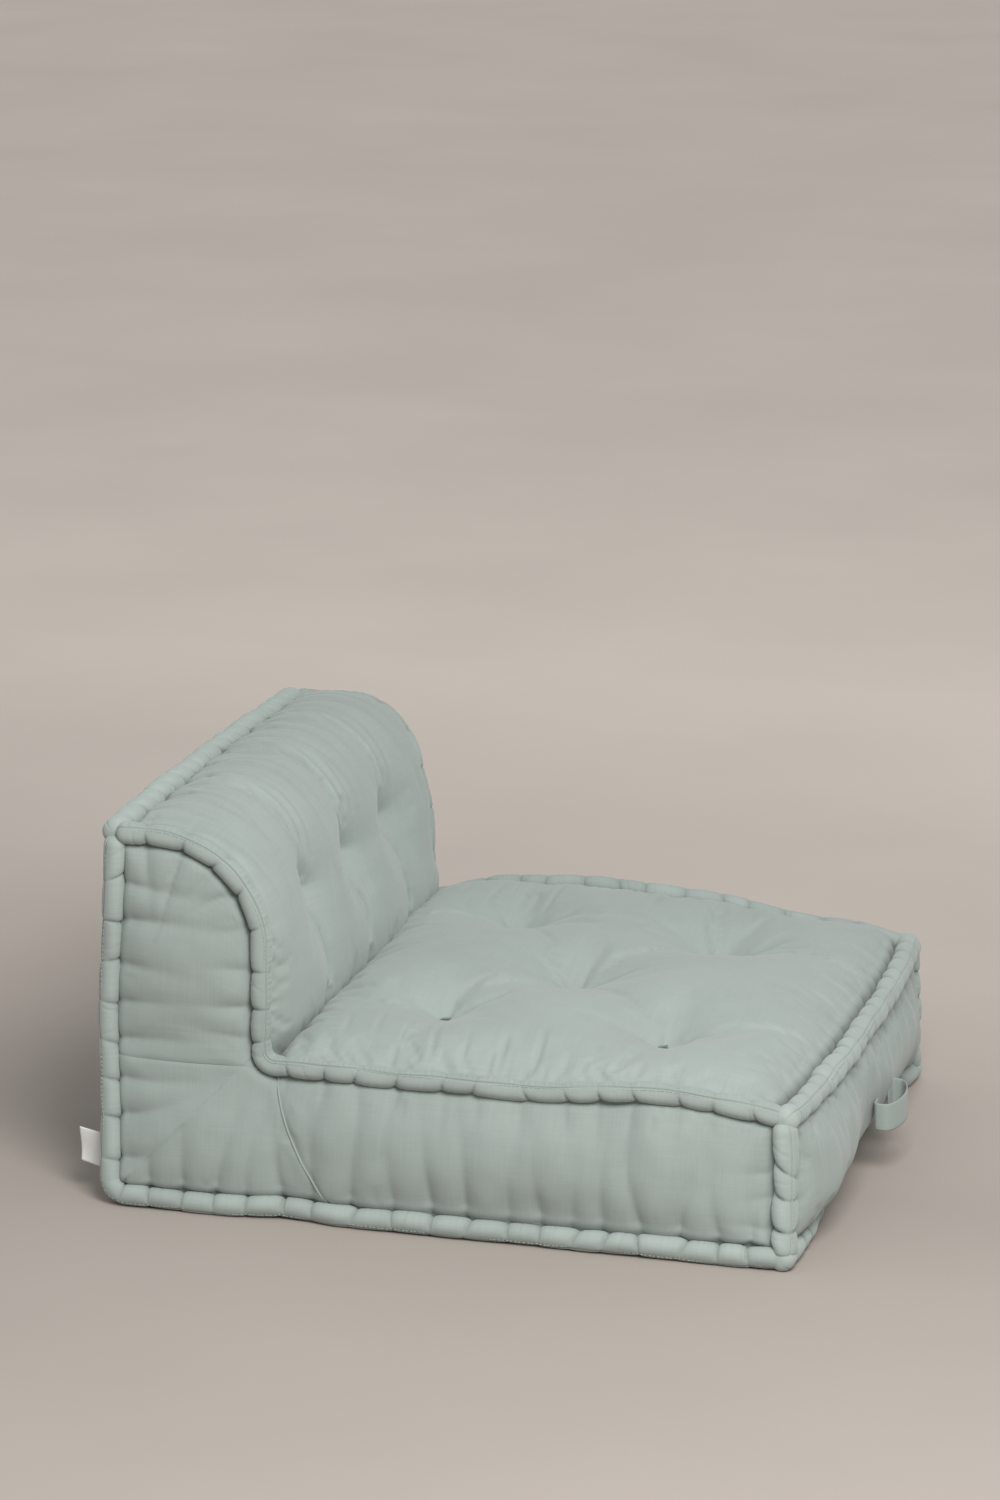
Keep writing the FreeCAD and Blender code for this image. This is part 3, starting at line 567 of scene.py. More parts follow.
class Nodes:
    """Shorthands for building a node tree."""

    def __init__(self, tree):
        self.tree = tree

    def add(self, kind, **settings):
        node = self.tree.nodes.new(kind)
        for key, value in settings.items():
            setattr(node, key, value)
        return node

    def put(self, value, target):
        if hasattr(value, "is_output"):
            self.tree.links.new(value, target)
        else:
            target.default_value = value

    def math(self, kind, *values):
        node = self.add("ShaderNodeMath", operation=kind)
        for value, target in zip(values, node.inputs):
            self.put(value, target)
        return node.outputs[0]

    def stretch(self, vector, factors):
        node = self.add("ShaderNodeVectorMath", operation="MULTIPLY")
        self.put(vector, node.inputs[0])
        self.put(factors, node.inputs[1])
        return node.outputs[0]

    def noise(self, vector, scale, detail=2.0):
        node = self.add("ShaderNodeTexNoise")
        self.put(vector, node.inputs["Vector"])
        self.put(scale, node.inputs["Scale"])
        self.put(detail, node.inputs["Detail"])
        return node.outputs["Fac"]

    def shade(self, colour, factor):
        node = self.add("ShaderNodeVectorMath", operation="SCALE")
        self.put(colour, node.inputs[0])
        self.put(factor, node.inputs["Scale"])
        return node.outputs[0]


def weave_group():
    """Plain weave: crossed sine threads, long slubs both ways, slow colour drift, and painted shade in
    folds with painted light on swells, from the fold mask.
    """
    known = bpy.data.node_groups.get("plain_weave")
    if known:
        return known
    group = bpy.data.node_groups.new("plain_weave", "ShaderNodeTree")
    socket(group, "Vector", "INPUT", "NodeSocketVector")
    socket(group, "Colour", "INPUT", "NodeSocketColor", (0.4, 0.46, 0.42, 1))
    for name, value in (("Pitch", 0.0009), ("Slub", 0.12), ("Fold", 0.0), ("Painted_shade", 0.08)):
        socket(group, name, "INPUT", "NodeSocketFloat", value)
    socket(group, "Colour", "OUTPUT", "NodeSocketColor")
    for name in ("Height", "Roughness"):
        socket(group, name, "OUTPUT", "NodeSocketFloat")
    n = Nodes(group)
    ins = n.add("NodeGroupInput").outputs
    outs = n.add("NodeGroupOutput").inputs
    parts = n.add("ShaderNodeSeparateXYZ")
    n.put(ins["Vector"], parts.inputs[0])
    turns = n.math("DIVIDE", 2 * math.pi, ins["Pitch"])
    warp = n.math("SINE", n.math("MULTIPLY", parts.outputs[0], turns))
    weft = n.math("SINE", n.math("MULTIPLY", parts.outputs[1], turns))
    threads = n.math("MULTIPLY", warp, weft)
    slub_warp = n.noise(n.stretch(ins["Vector"], (14, 620, 1)), 1.0, 3.0)
    slub_weft = n.noise(n.stretch(ins["Vector"], (620, 14, 1)), 1.0, 3.0)
    slubs = n.math("SUBTRACT", n.math("ADD", slub_warp, slub_weft), 1.0)
    drift = n.math("SUBTRACT", n.noise(ins["Vector"], 6.0, 3.0), 0.5)
    fleck = n.math("SUBTRACT", n.noise(ins["Vector"], 900.0, 2.0), 0.5)
    tone = n.math("MULTIPLY_ADD", slubs, ins["Slub"], 1.0)
    tone = n.math("MULTIPLY_ADD", drift, 0.16, tone)
    tone = n.math("MULTIPLY_ADD", fleck, 0.10, tone)
    # Painted shade and light: the fold mask, times its strength, darkens folds and creases and lightens
    # swells
    tone = n.math("MULTIPLY_ADD", ins["Fold"], ins["Painted_shade"], tone)
    n.put(n.shade(ins["Colour"], tone), outs["Colour"])
    height = n.math("MULTIPLY_ADD", threads, 0.35, n.math("MULTIPLY", slubs, 1.2))
    n.put(height, outs["Height"])
    n.put(n.math("MULTIPLY_ADD", slub_warp, 0.16, 0.80), outs["Roughness"])
    return group


def cloth_material(name, colour, pitch, slub, painted_shade, sheen, bump):
    """A woven cloth: pitch of its threads in metres, and shares for slubs, painted shade and light of
    folds, sheen and relief.
    """
    known = bpy.data.materials.get(name)
    if known:
        return known
    material = bpy.data.materials.new(name)
    material.use_nodes = True
    n = Nodes(material.node_tree)
    shader = material.node_tree.nodes["Principled BSDF"]
    shader.inputs["Specular IOR Level"].default_value = 0.2
    shader.inputs["Sheen Weight"].default_value = sheen
    shader.inputs["Sheen Roughness"].default_value = 0.55
    weave = n.add("ShaderNodeGroup", node_tree=weave_group())
    lay = n.add("ShaderNodeUVMap", uv_map="cloth")
    fold = n.add("ShaderNodeAttribute", attribute_name="fold")
    n.put(lay.outputs["UV"], weave.inputs["Vector"])
    n.put(fold.outputs["Fac"], weave.inputs["Fold"])
    weave.inputs["Colour"].default_value = (*colour, 1)
    weave.inputs["Pitch"].default_value = pitch
    weave.inputs["Slub"].default_value = slub
    weave.inputs["Painted_shade"].default_value = painted_shade
    relief = n.add("ShaderNodeBump")
    relief.inputs["Strength"].default_value = bump
    relief.inputs["Distance"].default_value = 0.0004
    n.put(weave.outputs["Height"], relief.inputs["Height"])
    n.put(relief.outputs["Normal"], shader.inputs["Normal"])
    n.put(weave.outputs["Colour"], shader.inputs["Base Color"])
    n.put(weave.outputs["Roughness"], shader.inputs["Roughness"])
    return material


# Cloths by name: colour property, thread pitch, share of the Slub property, slub of its own, painted shade
# of folds and light of swells, sheen and relief
CLOTHS = {
    "cover_cloth": ("cover_colour", 0.0009, 1.0, 0.0, 0.07, 0.25, 0.30),
    "roll_cloth": ("cover_colour", 0.0009, 1.0, 0.0, 0.10, 0.25, 0.35),
    "strap_cloth": ("cover_colour", 0.0013, 0.7, 0.0, 0.10, 0.20, 0.45),
    "sewing_thread": ("thread_colour", 0.0006, 0.0, 0.15, 0.0, 0.10, 0.5),
    "tuft_cord": ("tie_colour", 0.0008, 0.0, 0.15, 0.0, 0.10, 0.6),
    "label_satin": ("label_colour", 0.0005, 0.0, 0.05, 0.05, 0.15, 0.25),
}


def cloth_named(name, finishes):
    """The material of a cloth in the table."""
    colour, pitch, share, own, painted_shade, sheen, bump = CLOTHS[name]
    slub = finishes.slub * share + own
    return cloth_material(name, getattr(finishes, colour), pitch, slub, painted_shade, sheen, bump)


# Folds and dimples
def nearest(flat, *names):
    """For each named edge, the run and distance of its place nearest to every point of a cover."""
    return [EDGES[name].near(flat) for name in names]


def held_at(distances, a, b, spots=(), reach=TUFT_HOLD):
    """Where a cover is held: beside its edges and round its tufts."""
    held = np.min(distances, axis=0) < HELD
    for spot in spots:
        held |= np.hypot(a - spot[0], b - spot[1]) < reach
    return held


def swelled(flat, axis, height):
    """The points of a cover moved out along one axis."""
    points = flat.copy()
    points[..., axis] += height
    return points


def gathers(name, near, depth, reach, width, seed, between=0.0, spread=0.11):
    """Folds from the stitches into a panel: for each stitch a valley exp(-|s - place - lean d| / w)
    that widens with d and fades as exp(-(d / its own length)^1.7)."""
    s, d = near
    rng = np.random.default_rng(seed)
    places = EDGES[name].pinches
    pulls = EDGES[name].pull * rng.uniform(0.75, 1.2, len(places))
    if between:
        more = places[:-1] + np.diff(places) * rng.uniform(0.35, 0.65, len(places) - 1)
        places = np.concatenate([places, more])
        pulls = np.concatenate([pulls, between * rng.uniform(0.3, 1.0, len(more))])
    lengths = reach * rng.uniform(0.55, 1.5, len(places))
    leans = rng.normal(0, 0.10, len(places))
    bends = rng.normal(0, 0.6, len(places))
    clear = np.maximum(d - 0.8 * ROLL, 0)
    total = np.zeros(d.shape)
    for place, pull, length, lean, bend in zip(places, pulls, lengths, leans, bends):
        off = s - place - lean * clear - bend * clear**2
        broad = width + spread * clear
        valley = np.exp(-(np.sqrt(off**2 + (0.3 * broad) ** 2) - 0.3 * broad) / broad)
        total -= pull * valley * np.exp(-((clear / length) ** 1.7))
    return depth * total * (0.5 + 0.5 * smooth(clear / 0.02))


def wrinkles(a, b, table):
    """Short folds on a panel: each row is (a, b, turn in degrees, length, width, depth, bend); a narrow
    valley with a raised lip beside it, along a slightly bent line that fades at both ends."""
    total = np.zeros(a.shape)
    for a0, b0, turn, length, width, depth, bend in table:
        c, s = math.cos(math.radians(turn)), math.sin(math.radians(turn))
        along = (a - a0) * c + (b - b0) * s
        across = (b - b0) * c - (a - a0) * s - bend * along**2
        fade = np.exp(-((along / length) ** 4) * 8)
        q = across / width
        total += depth * fade * (0.45 * bell(q, 1.6, 1.3) - bell(q, 0, 1))
    return total


def scattered(rng, count, low, high, turn, length, width, depth):
    """Seeded rows for wrinkles() inside a box."""
    return np.stack(
        [
            rng.uniform(low[0], high[0], count),
            rng.uniform(low[1], high[1], count),
            rng.normal(turn[0], turn[1], count),
            length * rng.uniform(0.6, 1.5, count),
            width * rng.uniform(0.7, 1.4, count),
            depth * rng.uniform(0.4, 1.2, count),
            rng.normal(0, 2.0, count),
        ],
        axis=1,
    )


def dimple(a, b, spot, depth, reach, seed, folds=6):
    """A tuft: a pit of the given reach with a cusp under the tie, and short folds fanning out of it."""
    rng = np.random.default_rng(seed)
    da, db = a - spot[0], b - spot[1]
    r = np.maximum(np.hypot(da, db) - TUFT_FLAT, 0)
    turn = np.arctan2(db, da)
    pit = depth * 0.90 / (1 + (r / reach) ** 2) + depth * 0.10 * np.exp(-r / (0.30 * reach))
    fan = np.zeros(a.shape)
    for way in rng.uniform(0, 2 * math.pi / folds, folds) + np.arange(folds) * 2 * math.pi / folds:
        apart = np.angle(np.exp(1j * (turn - way))) * r
        fan += bell(apart, 0, 0.004 + 0.06 * r) * rng.uniform(0.4, 1.0)
    fan *= 0.0018 * np.exp(-r / (1.1 * reach)) * smooth(r / 0.012)
    return -pit - fan


def valley(a, b, start, stop, depth, width):
    """A soft trough between two tufts, shallower midway."""
    start, stop = np.array(start), np.array(stop)
    way = stop - start
    t = ((a - start[0]) * way[0] + (b - start[1]) * way[1]) / (way @ way)
    t = np.clip(t, 0, 1)
    gap = np.hypot(a - start[0] - t * way[0], b - start[1] - t * way[1])
    return -depth * (0.55 + 0.45 * (2 * t - 1) ** 2) * bell(gap, 0, width)


class Form:
    """A cover before sewing: its grid, the fine relief to add along its normals, where it is held, and
    how much larger and stiffer it is cut, the share of the settling it takes up, and how much shade
    is painted into its deep creases."""

    def __init__(self, points, fine, held, uv, growth=0.0, stiff=0.6, ease=None, shade=0.0):
        self.points = points
        self.fine = fine
        self.held = held
        self.uv = uv
        self.growth = growth
        self.stiff = stiff
        self.ease = np.ones(fine.shape) if ease is None else ease
        self.shade = shade


def lay_out(points):
    """UV in metres from the mean steps of a grid."""
    along = np.linalg.norm(np.diff(points, axis=0), axis=-1).mean(axis=1)
    across = np.linalg.norm(np.diff(points, axis=1), axis=-1).mean(axis=0)
    v = np.concatenate([[0], np.cumsum(along)])
    u = np.concatenate([[0], np.cumsum(across)])
    return np.stack(np.meshgrid(u, v), axis=-1)


# Folds between the side roll and the rear tuft: x, y, turn, length, width, depth, bend
SEAT_FOLDS = np.array(
    [
        (-0.310, 0.165, 8, 0.055, 0.0042, 0.0018, 0.5),
        (-0.305, 0.120, 5, 0.055, 0.0042, 0.0024, -0.6),
        (-0.310, 0.077, 4, 0.062, 0.0042, 0.0030, 0.8),
        (-0.320, 0.031, 7, 0.088, 0.0042, 0.0040, -0.5),
        (-0.352, -0.020, 4, 0.050, 0.0045, 0.0020, 0.4),
        (-0.355, -0.074, 4, 0.062, 0.0045, 0.0034, 0.6),
        (-0.335, -0.122, 4, 0.070, 0.0050, 0.0024, 0.5),
        (-0.360, -0.241, -3, 0.040, 0.0050, 0.0016, 0.0),
    ]
)


# Where the filling of the seat has sunk or piled up: x, y, reach along x, reach along y, depth
SEAT_SAGS = np.array(
    [
        (0.225, -0.225, 0.15, 0.17, 0.027),
        (0.350, -0.300, 0.11, 0.12, 0.012),
        (0.215, 0.060, 0.13, 0.11, 0.010),
        (0.000, -0.090, 0.10, 0.10, 0.008),
        (-0.205, 0.055, 0.10, 0.09, -0.009),
        (0.300, 0.190, 0.12, 0.06, -0.007),
    ]
)


def tuft_folds(spots):
    """From each seat tuft a soft fold runs forward and to the far side, over the mound in front of it."""
    return np.array([(x + 0.020, y - 0.052, 112, 0.062, 0.0085, 0.0045, -1.5) for x, y in spots])


def tuft_cross(a, b, spot):
    """The pull of a seat tuft: a long trough to the far side, a faint one to the near side and a short one
    along the seat."""
    width, reach_across, reach_along = 0.030, 0.125, 0.085
    depth_across, depth_along, near_share = 0.014, 0.004, 0.25
    far = near_share + (1 - near_share) * smooth((a - spot[0] + width) / (2 * width))
    across = far * bell(b, spot[1], width) * bell(a, spot[0], reach_across)
    along = bell(a, spot[0], width) * bell(b, spot[1], reach_along)
    return -depth_across * across - depth_along * along


def seat_form(look):
    """Height over the rim plane: a lip beside every roll, a broad crown with sunk and piled places, five
    tufts with troughs between them, gathers from the stitches and the tuck under the back."""
    x = np.linspace(-EDGE_X, EDGE_X, odd_count(2 * EDGE_X, look.grid))
    y = np.linspace(FRONT_Y, TUCK_Y, odd_count(TUCK_Y - FRONT_Y, look.grid))
    a, b = np.meshgrid(x, y)
    drawn = b + (front_line(a) - FRONT_Y) * ((TUCK_Y - b) / (TUCK_Y - FRONT_Y)) ** 4
    flat = np.stack([a * (1 + seat_bow(b) / EDGE_X), drawn, SEAT_Z + RISE + seat_rise(a, b)], axis=-1)
    front, left, right = nearest(flat, "front_top", "left_profile", "right_profile")
    back = TUCK_Y - b + 0.6 * ROLL
    tuck = np.maximum(TUCK_Y - b - 0.020, 0)
    gap = front[1] - 1.25 * ROLL
    lip = crease(front[1], 1.25) * tangent_lip(left[1]) * tangent_lip(right[1]) * pillow(back, 0.010)
    dome = pillow(front[1], 0.070) * pillow(left[1], 0.075) * pillow(right[1], 0.075) * pillow(back, 0.040)
    height = LIP * lip - SINK + look.seat_crown * dome
    for number, spot in enumerate(SEAT_TUFTS):
        height += dimple(a, b, spot, look.tuft_depth, reach=0.052, seed=300 + number) + tuft_cross(a, b, spot)
    spokes = [valley(a, b, SEAT_TUFTS[0], spot, depth=0.004, width=0.034) for spot in SEAT_TUFTS[1:]]
    height += np.min(spokes, axis=0)
    for x0, y0, reach_x, reach_y, depth in SEAT_SAGS:
        height -= depth * bell(a, x0, reach_x) * bell(b, y0, reach_y) * dome
    height += 0.0022 * uneven(flat, pitch=0.22, seed=301) * dome
    height -= 0.022 * bell(tuck, 0, 0.013) + 0.005 * bell(gap, 0, 0.004)
    fine = gathers("front_top", front, look.gather * 1.3, reach=0.026, width=0.006, seed=302)
    fine += gathers("left_profile", left, look.gather * 0.35, reach=0.035, width=0.007, seed=303)
    fine += gathers("right_profile", right, look.gather * 0.35, reach=0.035, width=0.007, seed=304)
    rng = np.random.default_rng(305)
    mirror = np.array([-1, 1, -1, 1, 1, 1, -1])
    rows = [SEAT_FOLDS, SEAT_FOLDS * mirror, tuft_folds(SEAT_TUFTS)]
    size = {"width": 0.006, "depth": 0.0012}
    rows.append(scattered(rng, 6, (-0.37, -0.33), (-0.32, -0.08), turn=(4, 10), length=0.032, **size))
    rows.append(scattered(rng, 10, (-0.35, -0.45), (0.35, -0.40), turn=(90, 16), length=0.030, **size))
    fine += 0.75 * wrinkles(a, b, np.concatenate(rows)) * lip
    fine += 0.0003 * uneven(flat, pitch=0.05, seed=306) * lip
    held = held_at([front[1], left[1], right[1], back], a, b, SEAT_TUFTS) | (front[1] < 1.6 * ROLL)
    # Painted shade: darker in the groove beside the front roll and in the tuck under the back
    shade = 8.5 * bell(gap, 0, 0.0050) + 6.0 * bell(tuck, 0, 0.010)
    return Form(swelled(flat, 2, height), fine, held, lay_out(flat), look.cloth_growth, shade=shade)


def back_profile(count):
    """Points up the back's front, round its shoulder and along its top, with outward directions."""
    low = SEAT_Z - 0.03
    arc_radius = SHOULDER + RISE
    runs = np.array([ARC_Z - low, arc_radius * math.pi / 2, REAR_Y - ARC_Y])
    t = np.linspace(0, runs.sum(), count)
    turn = np.clip((t - runs[0]) / arc_radius, 0, math.pi / 2)
    out = np.stack([-np.cos(turn), np.sin(turn)], axis=1)
    rise_up = np.minimum(t, runs[0]) - runs[0]
    run_back = np.maximum(t - runs[0] - runs[1], 0)
    spot = np.array([ARC_Y, ARC_Z]) + arc_radius * out
    spot[:, 1] += rise_up
    spot[:, 0] += run_back
    return t, spot, out


# Folds above each back tuft: place beside it, start above it, length, depth
RISING_FOLDS = ((-0.014, 0.105, 0.090, 0.0024), (0.004, 0.095, 0.100, 0.0034), (0.022, 0.085, 0.080, 0.0024))


def back_folds(run):
    """Three long folds that rise from each back tuft and swing to the far side, and one that hangs below."""
    rows = []
    for number, spot in enumerate(BACK_TUFTS):
        for off, start, length, depth in RISING_FOLDS:
            rows.append((spot + off + 0.012, run + start, 86, length, 0.0050, depth, -1.6 - 0.3 * number))
        rows.append((spot + 0.010, run - 0.085, 96, 0.080, 0.0080, 0.0030, -0.8))
    return np.array(rows)


def back_form(look):
    """The back's front and top in one sheet: crown along its outward direction, three tufts, folds that
    run forward from the rear roll, and the tuck behind the seat."""
    length = ARC_Z - SEAT_Z + 0.03 + (SHOULDER + RISE) * math.pi / 2 + REAR_Y - ARC_Y
    t, spot, out = back_profile(odd_count(length, look.grid))
    x = np.linspace(-EDGE_X, EDGE_X, odd_count(2 * EDGE_X, look.grid))
    a, b = np.meshgrid(x, t)
    flat = np.stack(np.broadcast_arrays(a, spot[:, :1], spot[:, 1:]), axis=-1)
    normal = np.stack(np.broadcast_arrays(np.zeros(a.shape), out[:, :1], out[:, 1:]), axis=-1)
    turn = np.arctan2(normal[..., 2], -normal[..., 1])
    flat = flat + normal * shoulder_lean(a, turn, flat[..., 2])[..., None]
    back_share = smooth((flat[..., 1] - REAR_Y + 0.12) / 0.12)
    flat[..., 1] += top_bow(a) * back_share
    flat[..., 2] += 2 * top_bow(a) * back_share
    rear, left, right = nearest(flat, "rear_top", "left_profile", "right_profile")
    low = b + 0.4 * ROLL
    lip = crease(rear[1], 1.3) * tangent_lip(left[1]) * tangent_lip(right[1])
    dome = pillow(rear[1], 0.06) * pillow(left[1], 0.08) * pillow(right[1], 0.08) * pillow(low, 0.03)
    height = LIP * lip - SINK + look.back_crown * dome
    tuft_run = t[np.argmin(np.abs(spot[:, 1] - BACK_TUFT_Z) + 10 * (spot[:, 0] > ARC_Y - 0.05))]
    tufts = [(across, tuft_run) for across in BACK_TUFTS]
    for number, tuft in enumerate(tufts):
        height += dimple(a, b, tuft, look.back_tuft_depth, reach=0.034, seed=320 + number)
        for reach in (-0.15, 0.14):
            height += valley(a, b, tuft, (tuft[0], tuft_run + reach), depth=0.008, width=0.030)
    for one, two in zip(tufts[:-1], tufts[1:]):
        height += valley(a, b, one, two, depth=0.013, width=0.042)
    height += 0.0022 * uneven(flat, pitch=0.2, seed=321) * dome
    points = flat + normal * height[..., None]
    fine = gathers(
        "rear_top", rear, look.gather * 1.2, reach=0.135, width=0.0036, seed=322, between=0.9, spread=0.02
    )
    fine += gathers("rear_top", rear, look.gather * 0.9, reach=0.105, width=0.0030, seed=326, spread=0.03)
    fine += wrinkles(a, b, back_folds(tuft_run))
    fine += gathers("left_profile", left, look.gather * 0.6, reach=0.030, width=0.007, seed=323)
    fine += gathers("right_profile", right, look.gather * 0.6, reach=0.030, width=0.007, seed=324)
    fine += 0.0003 * uneven(flat, pitch=0.05, seed=325) * lip
    held = held_at([rear[1], low, left[1], right[1]], a, b, tufts)
    # Painted shade: darker in the crease beside the rear roll and at the foot behind the seat
    shade = 8.0 * bell(rear[1], 1.2 * ROLL, 0.0050) + 5.0 * smooth((0.078 - b) / 0.022)
    SURFACES["back_tuft_run"] = tuft_run
    return Form(points, fine, held, lay_out(flat), look.cloth_growth, shade=shade)


def front_form(look):
    """The front: a deep bulge that rolls under towards the floor, with gathers hanging from the top roll."""
    x = np.linspace(-EDGE_X, EDGE_X, odd_count(2 * EDGE_X, look.grid))
    z = np.linspace(BASE_Z, SEAT_Z, odd_count(SEAT_Z - BASE_Z, look.grid))
    a, b = np.meshgrid(x, z)
    share = (SEAT_Z - b) / (SEAT_Z - BASE_Z)
    wide = a * (1 + base_bow(FRONT_Y) * side_lean(b) / EDGE_X)
    deep = front_line(a) * (1 - share) + front_foot(wide) * share
    flat = np.stack([wide, deep - RISE, b + front_lift(a) * (1 - share)], axis=-1)
    top, bottom, left, right = nearest(flat, "front_top", "front_bottom", "left_corner", "right_corner")
    lip = tangent_lip(top[1]) * crease(bottom[1]) * tangent_lip(left[1]) * tangent_lip(right[1])
    dome = pillow(top[1], 0.050) * pillow(bottom[1], 0.026) * pillow(left[1], 0.055) * pillow(right[1], 0.055)
    height = LIP * lip - SINK + look.front_crown * dome + 0.0020 * uneven(flat, pitch=0.2, seed=341) * dome
    fine = gathers("front_top", top, look.gather * 2.0, reach=0.095, width=0.008, seed=347)
    fine += gathers("front_top", top, look.gather * 1.2, reach=0.060, width=0.006, seed=342, between=0.5)
    fine += gathers("front_bottom", bottom, look.gather * 0.7, reach=0.03, width=0.008, seed=343)
    fine += gathers("left_corner", left, look.gather * 0.4, reach=0.022, width=0.007, seed=344)
    fine += gathers("right_corner", right, look.gather * 0.4, reach=0.022, width=0.007, seed=345)
    fine += 0.0003 * uneven(flat, pitch=0.05, seed=346) * lip
    held = held_at([top[1], bottom[1], left[1], right[1]], a, b)
    return Form(swelled(flat, 1, -height), fine, held, lay_out(flat), 0.4 * look.cloth_growth)


def rear_form(look):
    """The rear: a shallow bulge between its four rolls, pulled in by the three back tufts."""
    x = np.linspace(EDGE_X, -EDGE_X, odd_count(2 * EDGE_X, look.grid * 1.4))
    share = np.linspace(0, 1, odd_count(TOP_Z - BASE_Z, look.grid * 1.4))
    line = EDGES["rear_bottom"].line
    a, t = np.meshgrid(x, share)
    spread = 1 + base_bow(REAR_Y) / EDGE_X
    low = np.interp(a * spread, line[:, 0], line[:, 2])
    inward = REAR_Y - np.interp(a * spread, line[:, 0], line[:, 1])
    b = low + (TOP_Z - low) * t + 2 * top_bow(a) * t**3
    drawn = inward * (1 - t) ** 6 - top_bow(a) * t**6
    wide = a * (1 + base_bow(REAR_Y) * side_lean(b) / EDGE_X)
    flat = np.stack([wide, REAR_Y + RISE + rear_bow(b) - drawn, b], axis=-1)
    names = ("rear_top", "rear_bottom", "left_base", "right_base")
    sides = nearest(flat, *names)
    lip = np.prod([crease(d) for _, d in sides], axis=0)
    dome = np.prod([pillow(d, 0.085) for _, d in sides], axis=0)
    height = LIP * lip - SINK + look.rear_crown * dome + 0.0022 * uneven(flat, pitch=0.2, seed=361) * dome
    tufts = [(across, BACK_TUFT_Z) for across in BACK_TUFTS]
    for number, tuft in enumerate(tufts):
        height += dimple(a, b, tuft, look.back_tuft_depth * 0.6, reach=0.034, seed=362 + number)
    for one, two in zip(tufts[:-1], tufts[1:]):
        height += valley(a, b, one, two, depth=0.004, width=0.035)
    fine = np.zeros(a.shape)
    rows = ((1.0, 0.05, 366), (1.0, 0.04, 367), (0.8, 0.03, 368), (0.8, 0.03, 369))
    for name, side, (depth, reach, seed) in zip(names, sides, rows):
        fine += gathers(name, side, look.gather * depth, reach=reach, width=0.008, seed=seed)
    held = held_at([d for _, d in sides], a, b, tufts, REAR_TUFT_HOLD)
    return Form(swelled(flat, 1, height), fine, held, lay_out(flat), 0.2 * look.cloth_growth, stiff=0.5)


def seam_y(z):
    """The curved side seam: a parabola through its head at the crease, its middle and its foot."""
    head, foot, top, low = 0.247, 0.148, 0.226, 0.015
    t = (top - z) / (top - low)
    return head + (foot - head) * (0.37 * t + 0.63 * t * t)


def plain_seam(flat):
    """Distance to the level seam between the lower and upper side panels."""
    y = np.clip(flat[..., 1], PROFILE_Y, REAR_Y)
    return np.hypot(flat[..., 1] - y, flat[..., 2] - SEAT_Z)


def bowed(flat):
    """Carry the rear part of a side panel out with the bowed corner roll."""
    share = smooth((flat[..., 1] - REAR_Y + 0.20) / 0.20)
    flat[..., 1] += rear_bow(flat[..., 2]) * share
    return flat


def side_rows(side):
    """Edges of both covers of a side: name, crease start, crown run, gather depth, gather reach and seed."""
    return [(side + "_profile", 0.95, 0.05, 1.5, 0.070, 382), (side + "_base", 0.80, 0.05, 2.1, 0.135, 385)]


def side_form(look, flat, sign, rows):
    """What the covers of a side share: lip and crown beside the edges in rows, gathers from their stitches
    and the groove of the level seam, which also slows the settling near it."""
    spans = nearest(flat, *[row[0] for row in rows])
    distances = [d for _, d in spans]
    lip = np.prod([crease(d, row[1]) for d, row in zip(distances, rows)], axis=0)
    dome = np.prod([pillow(d, row[2]) for d, row in zip(distances, rows)], axis=0)
    height = LIP * lip - SINK + look.side_crown * dome
    height += 0.0018 * uneven(flat, pitch=0.2, seed=381 + sign) * dome
    fine = 0.0003 * uneven(flat, pitch=0.05, seed=391 + sign) * lip
    for span, (name, _, _, depth, reach, seed) in zip(spans, rows):
        fine += gathers(name, span, look.gather * depth, reach=reach, width=0.008, seed=seed + sign)
    seam = plain_seam(flat)
    fine -= 0.0014 * np.exp(-seam / 0.0025)
    held = (np.min(distances, axis=0) < HELD) | (seam < 0.005)
    ease = 1 - 0.9 * np.exp(-seam / 0.045)
    points = swelled(flat, 0, sign * height)
    return Form(points, fine, held, lay_out(flat), 0.1 * look.cloth_growth, stiff=3.0, ease=ease)


def lower_side_form(look, side, sign):
    """Seat side and lower rear side in one sheet, parted by the curved seam's groove; its rear foot
    follows the rounded heel of the base roll."""
    straight = np.linspace(FRONT_Y, REAR_Y - HEEL, odd_count(REAR_Y - HEEL - FRONT_Y, look.grid))
    turn = np.radians(np.linspace(0, 90, 13))[1:]
    y = np.concatenate([straight, REAR_Y - HEEL + HEEL * np.sin(turn)])
    low = BASE_Z + HEEL - np.sqrt(np.maximum(HEEL**2 - np.maximum(y - REAR_Y + HEEL, 0) ** 2, 0))
    if sign < 0:
        y, low = y[::-1], low[::-1]
    share = np.linspace(0, 1, odd_count(SEAT_Z - BASE_Z, look.grid))
    a = np.broadcast_to(y, (len(share), len(y)))
    inner = np.clip(y - PROFILE_Y + INNER_BEND, 0, 0.9 * INNER_BEND)
    bend = INNER_BEND - np.sqrt(INNER_BEND**2 - inner**2)
    under_roll = smooth((PROFILE_Y + 0.010 - y) / 0.020)
    high = SEAT_Z + ((seat_rise(sign * EDGE_X, y) + bend) * under_roll)[None]
    b = low[None] + (high - low[None]) * share[:, None]
    out = EDGE_X + RISE + base_bow(a) * side_lean(b) + seat_bow(a) * share[:, None]
    flat = bowed(np.stack([sign * out, a, b], axis=-1))
    drop = np.clip((SEAT_Z - b) / (SEAT_Z - BASE_Z), 0, 1)
    drawn = (front_line(sign * EDGE_X) - FRONT_Y) * (1 - drop) + FRONT_SLIP * drop
    flat[..., 1] += drawn * smooth((FRONT_Y + 0.15 - a) / 0.15)
    corner = (side + "_corner", 1.15, 0.060, 1.4, 0.045, 388)
    form = side_form(look, flat, sign, side_rows(side) + [corner])
    form.fine = form.fine - 0.0016 * bell(flat[..., 1], seam_y(b), 0.004)
    return form


